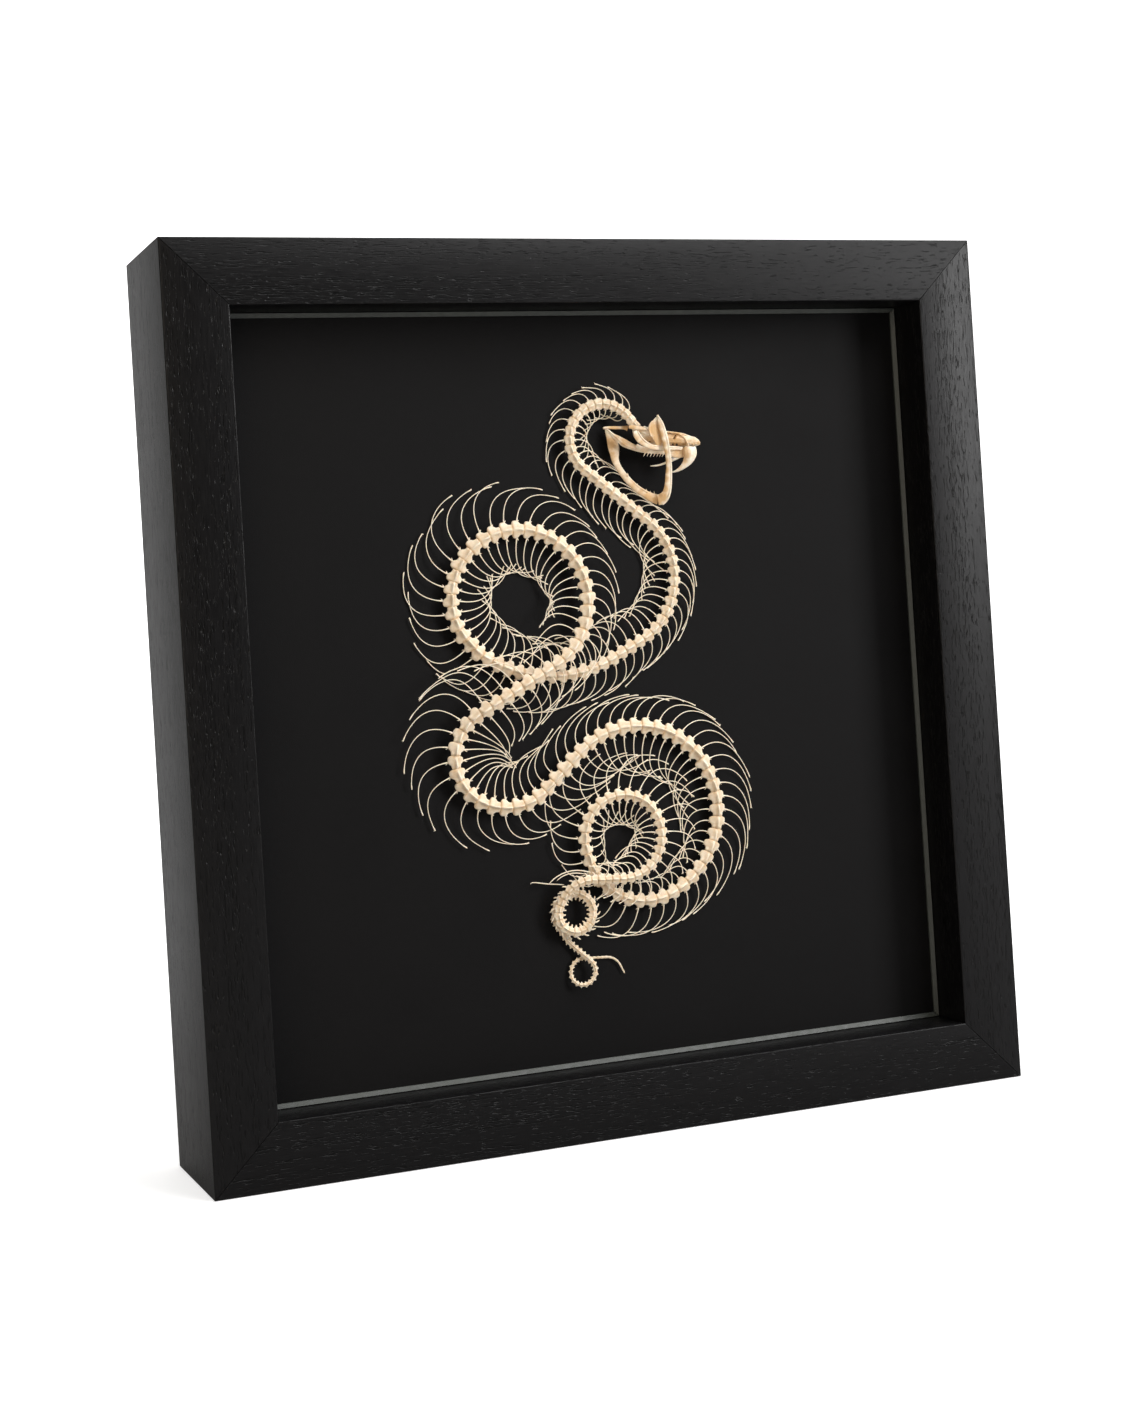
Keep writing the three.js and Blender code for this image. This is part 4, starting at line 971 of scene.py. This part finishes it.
add_strut(build, [
    (34.1, 118.9, 15.6, 0.4, 0.55), (34.7, 117.2, 15.7, 0.9, 0.7), (35.5, 115, 15.8, 1.4, 0.75),
    (36.3, 112, 15.8, 1.6, 0.75), (37, 109, 15.6, 1.7, 0.75), (37.6, 105.5, 15.2, 1.6, 0.75),
    (38.3, 100, 14.4, 1.4, 0.75), (38.3, 95.5, 13.5, 1.45, 0.75), (37.8, 91, 12.7, 1.65, 0.75),
    (37.3, 87, 12, 1.8, 0.75), (36.1, 83.4, 11.2, 2.1, 0.7), (34, 81.3, 10.4, 2.6, 0.6),
    (31.8, 80.8, 9.8, 2.4, 0.5)], 16)
add_strut(build, [
    (34.4, 118.4, 16.1, 0.4, 0.45), (36, 115.6, 16.3, 0.45, 0.5), (37.2, 112.4, 16.3, 0.5, 0.5),
    (38.1, 108.6, 16.1, 0.55, 0.5), (38.7, 104.6, 15.6, 0.55, 0.5), (39, 100, 14.9, 0.55, 0.5),
    (39.2, 95.4, 14, 0.55, 0.5), (38.9, 90.4, 13.1, 0.55, 0.5), (38.4, 86.4, 12.4, 0.55, 0.5),
    (37.5, 82.8, 11.8, 0.55, 0.5), (36, 80.4, 11.1, 0.55, 0.45), (34, 78.7, 10.6, 0.5, 0.4)])
add_teeth(build, [(34.2, 83.3), (35.3, 84.6)], (-0.35, 0.94), 0.9, 11.2)
fuse_bone("mandible_right", build, painted_shades=[
    (34, 114, 2.6, 0.7), (35, 110, 2.8, 0.9), (36, 106, 2.6, 0.9), (36.7, 102, 2.4, 0.9),
    (36.8, 98, 2.4, 0.9), (36.6, 94, 2.4, 0.9), (36, 90, 2.6, 0.9), (35.4, 86, 2.8, 0.9),
    (34, 82, 3.4, 0.95), (32, 80.4, 3, 0.95)])

# ---- floor, light and camera ----
# A white sheet that sweeps up behind the frame, five soft boxes and the camera. To the camera
# alone the sheet glows, more so far off, so that it shows as plain white.
SHEET_GREY = (0.4, 0.4, 0.4, 1)
SHEET_FRONT = -4
SHEET_TOP = 4
SHEET_HALF_WIDE = 5
SWEEP_FROM = 1.6
SWEEP_RADIUS = 1
SWEEP_STEPS = 12
FLOOR_GAP = 0.0002
sheet_white, tree, place = new_finish("sheet_white")
tooth = speckle(tree, scaled(tree, place, 900, 900, 900), 2.0)
seen = add_node(tree, "ShaderNodeLightPath").outputs["Is Camera Ray"]
away = add_node(tree, "ShaderNodeVectorMath", {0: place}, operation="LENGTH").outputs["Value"]
glow = combined(tree, "MULTIPLY", seen, graded(tree, away, 0.5, 1.8, 0.53, 0.95))
sheet = between(tree, graded(tree, tooth, 0.3, 0.7), (0.78, 0.78, 0.78, 1), (0.82, 0.82, 0.82, 1))
surface(tree, between(tree, seen, SHEET_GREY, sheet), graded(tree, tooth, 0.3, 0.7, 0.85, 0.95),
        tooth, 0.00002, Emission_Color=(1, 1, 1, 1), Emission_Strength=glow)
sweep = [(SHEET_FRONT, 0), (SWEEP_FROM, 0)]
for k in range(1, SWEEP_STEPS + 1):
    tilt = math.pi / 2 * k / SWEEP_STEPS
    sweep.append((SWEEP_FROM + SWEEP_RADIUS * math.sin(tilt),
                  SWEEP_RADIUS - SWEEP_RADIUS * math.cos(tilt)))
sweep.append((SWEEP_FROM + SWEEP_RADIUS, SHEET_TOP))
points = [(x, y, z - FLOOR_GAP) for x in (-SHEET_HALF_WIDE, SHEET_HALF_WIDE) for y, z in sweep]
count = len(sweep)
faces = [[k, k + 1, k + 1 + count, k + count] for k in range(count - 1)]
mesh = bpy.data.meshes.new("floor")
mesh.from_pydata(points, [], faces)
mesh.materials.append(sheet_white)
mesh.shade_smooth()
floor = bpy.data.objects.new("floor", mesh)
scene.collection.objects.link(floor)


def soft_box(name, place, aim, size, power, colour=(1, 1, 1)):
    """A soft box that faces a point."""
    light = bpy.data.lights.new(name, "AREA")
    light.color = colour
    light.shape = "RECTANGLE"
    light.size, light.size_y = size
    light.energy = power
    lamp = bpy.data.objects.new(name, light)
    scene.collection.objects.link(lamp)
    lamp.location = place
    lamp.rotation_euler = (Vector(aim) - Vector(place)).to_track_quat("-Z", "Y").to_euler()


soft_box("box_above", (0.3, -0.3, 2.2), (0, 0, 0.1), (1.8, 1.4), 24)
soft_box("box_front", (0.8, -1.3, 1.6), (0, 0, 0.2), (0.9, 0.9), 23)
soft_box("box_right", (1.5, -1.4, 0.7), (0, 0, 0.2), (0.6, 0.9), 26)
soft_box("box_left", (-1.15, -1.5, 0.6), (0, 0, 0.2), (1.2, 1.2), 11, (1, 0.88, 0.72))
soft_box("box_behind", (-0.4, 0.9, 2.3), (-0.6, 2.6, 1.0), (1.6, 1.0), 60)

world = bpy.data.worlds.new("studio")
scene.world = world
world.use_nodes = True
tree = world.node_tree
background = tree.nodes["Background"].inputs
background["Color"].default_value = (1, 1, 1, 1)
seen = add_node(tree, "ShaderNodeLightPath").outputs["Is Camera Ray"]
tree.links.new(graded(tree, seen, 0, 1, 0.05, 1.0), background["Strength"])
scene.view_settings.view_transform = "Standard"

camera = bpy.data.objects.new("camera", bpy.data.cameras.new("camera"))
scene.collection.objects.link(camera)
forward = Vector((0.3657, 0.9307, 0.0129)).normalized()
rightward = Vector((0.9292, -0.3643, -0.0618))
rightward = (rightward - forward * rightward.dot(forward)).normalized()
upward = rightward.cross(forward)
camera.matrix_world = Matrix.Translation((-0.3751, -0.9276, 0.2265)) @ Matrix(
    (rightward, upward, -forward)).transposed().to_4x4()
camera.data.sensor_width = 36
camera.data.lens = 57.16
camera.data.shift_y = -0.081
camera.data.clip_start = 0.01
scene.camera = camera
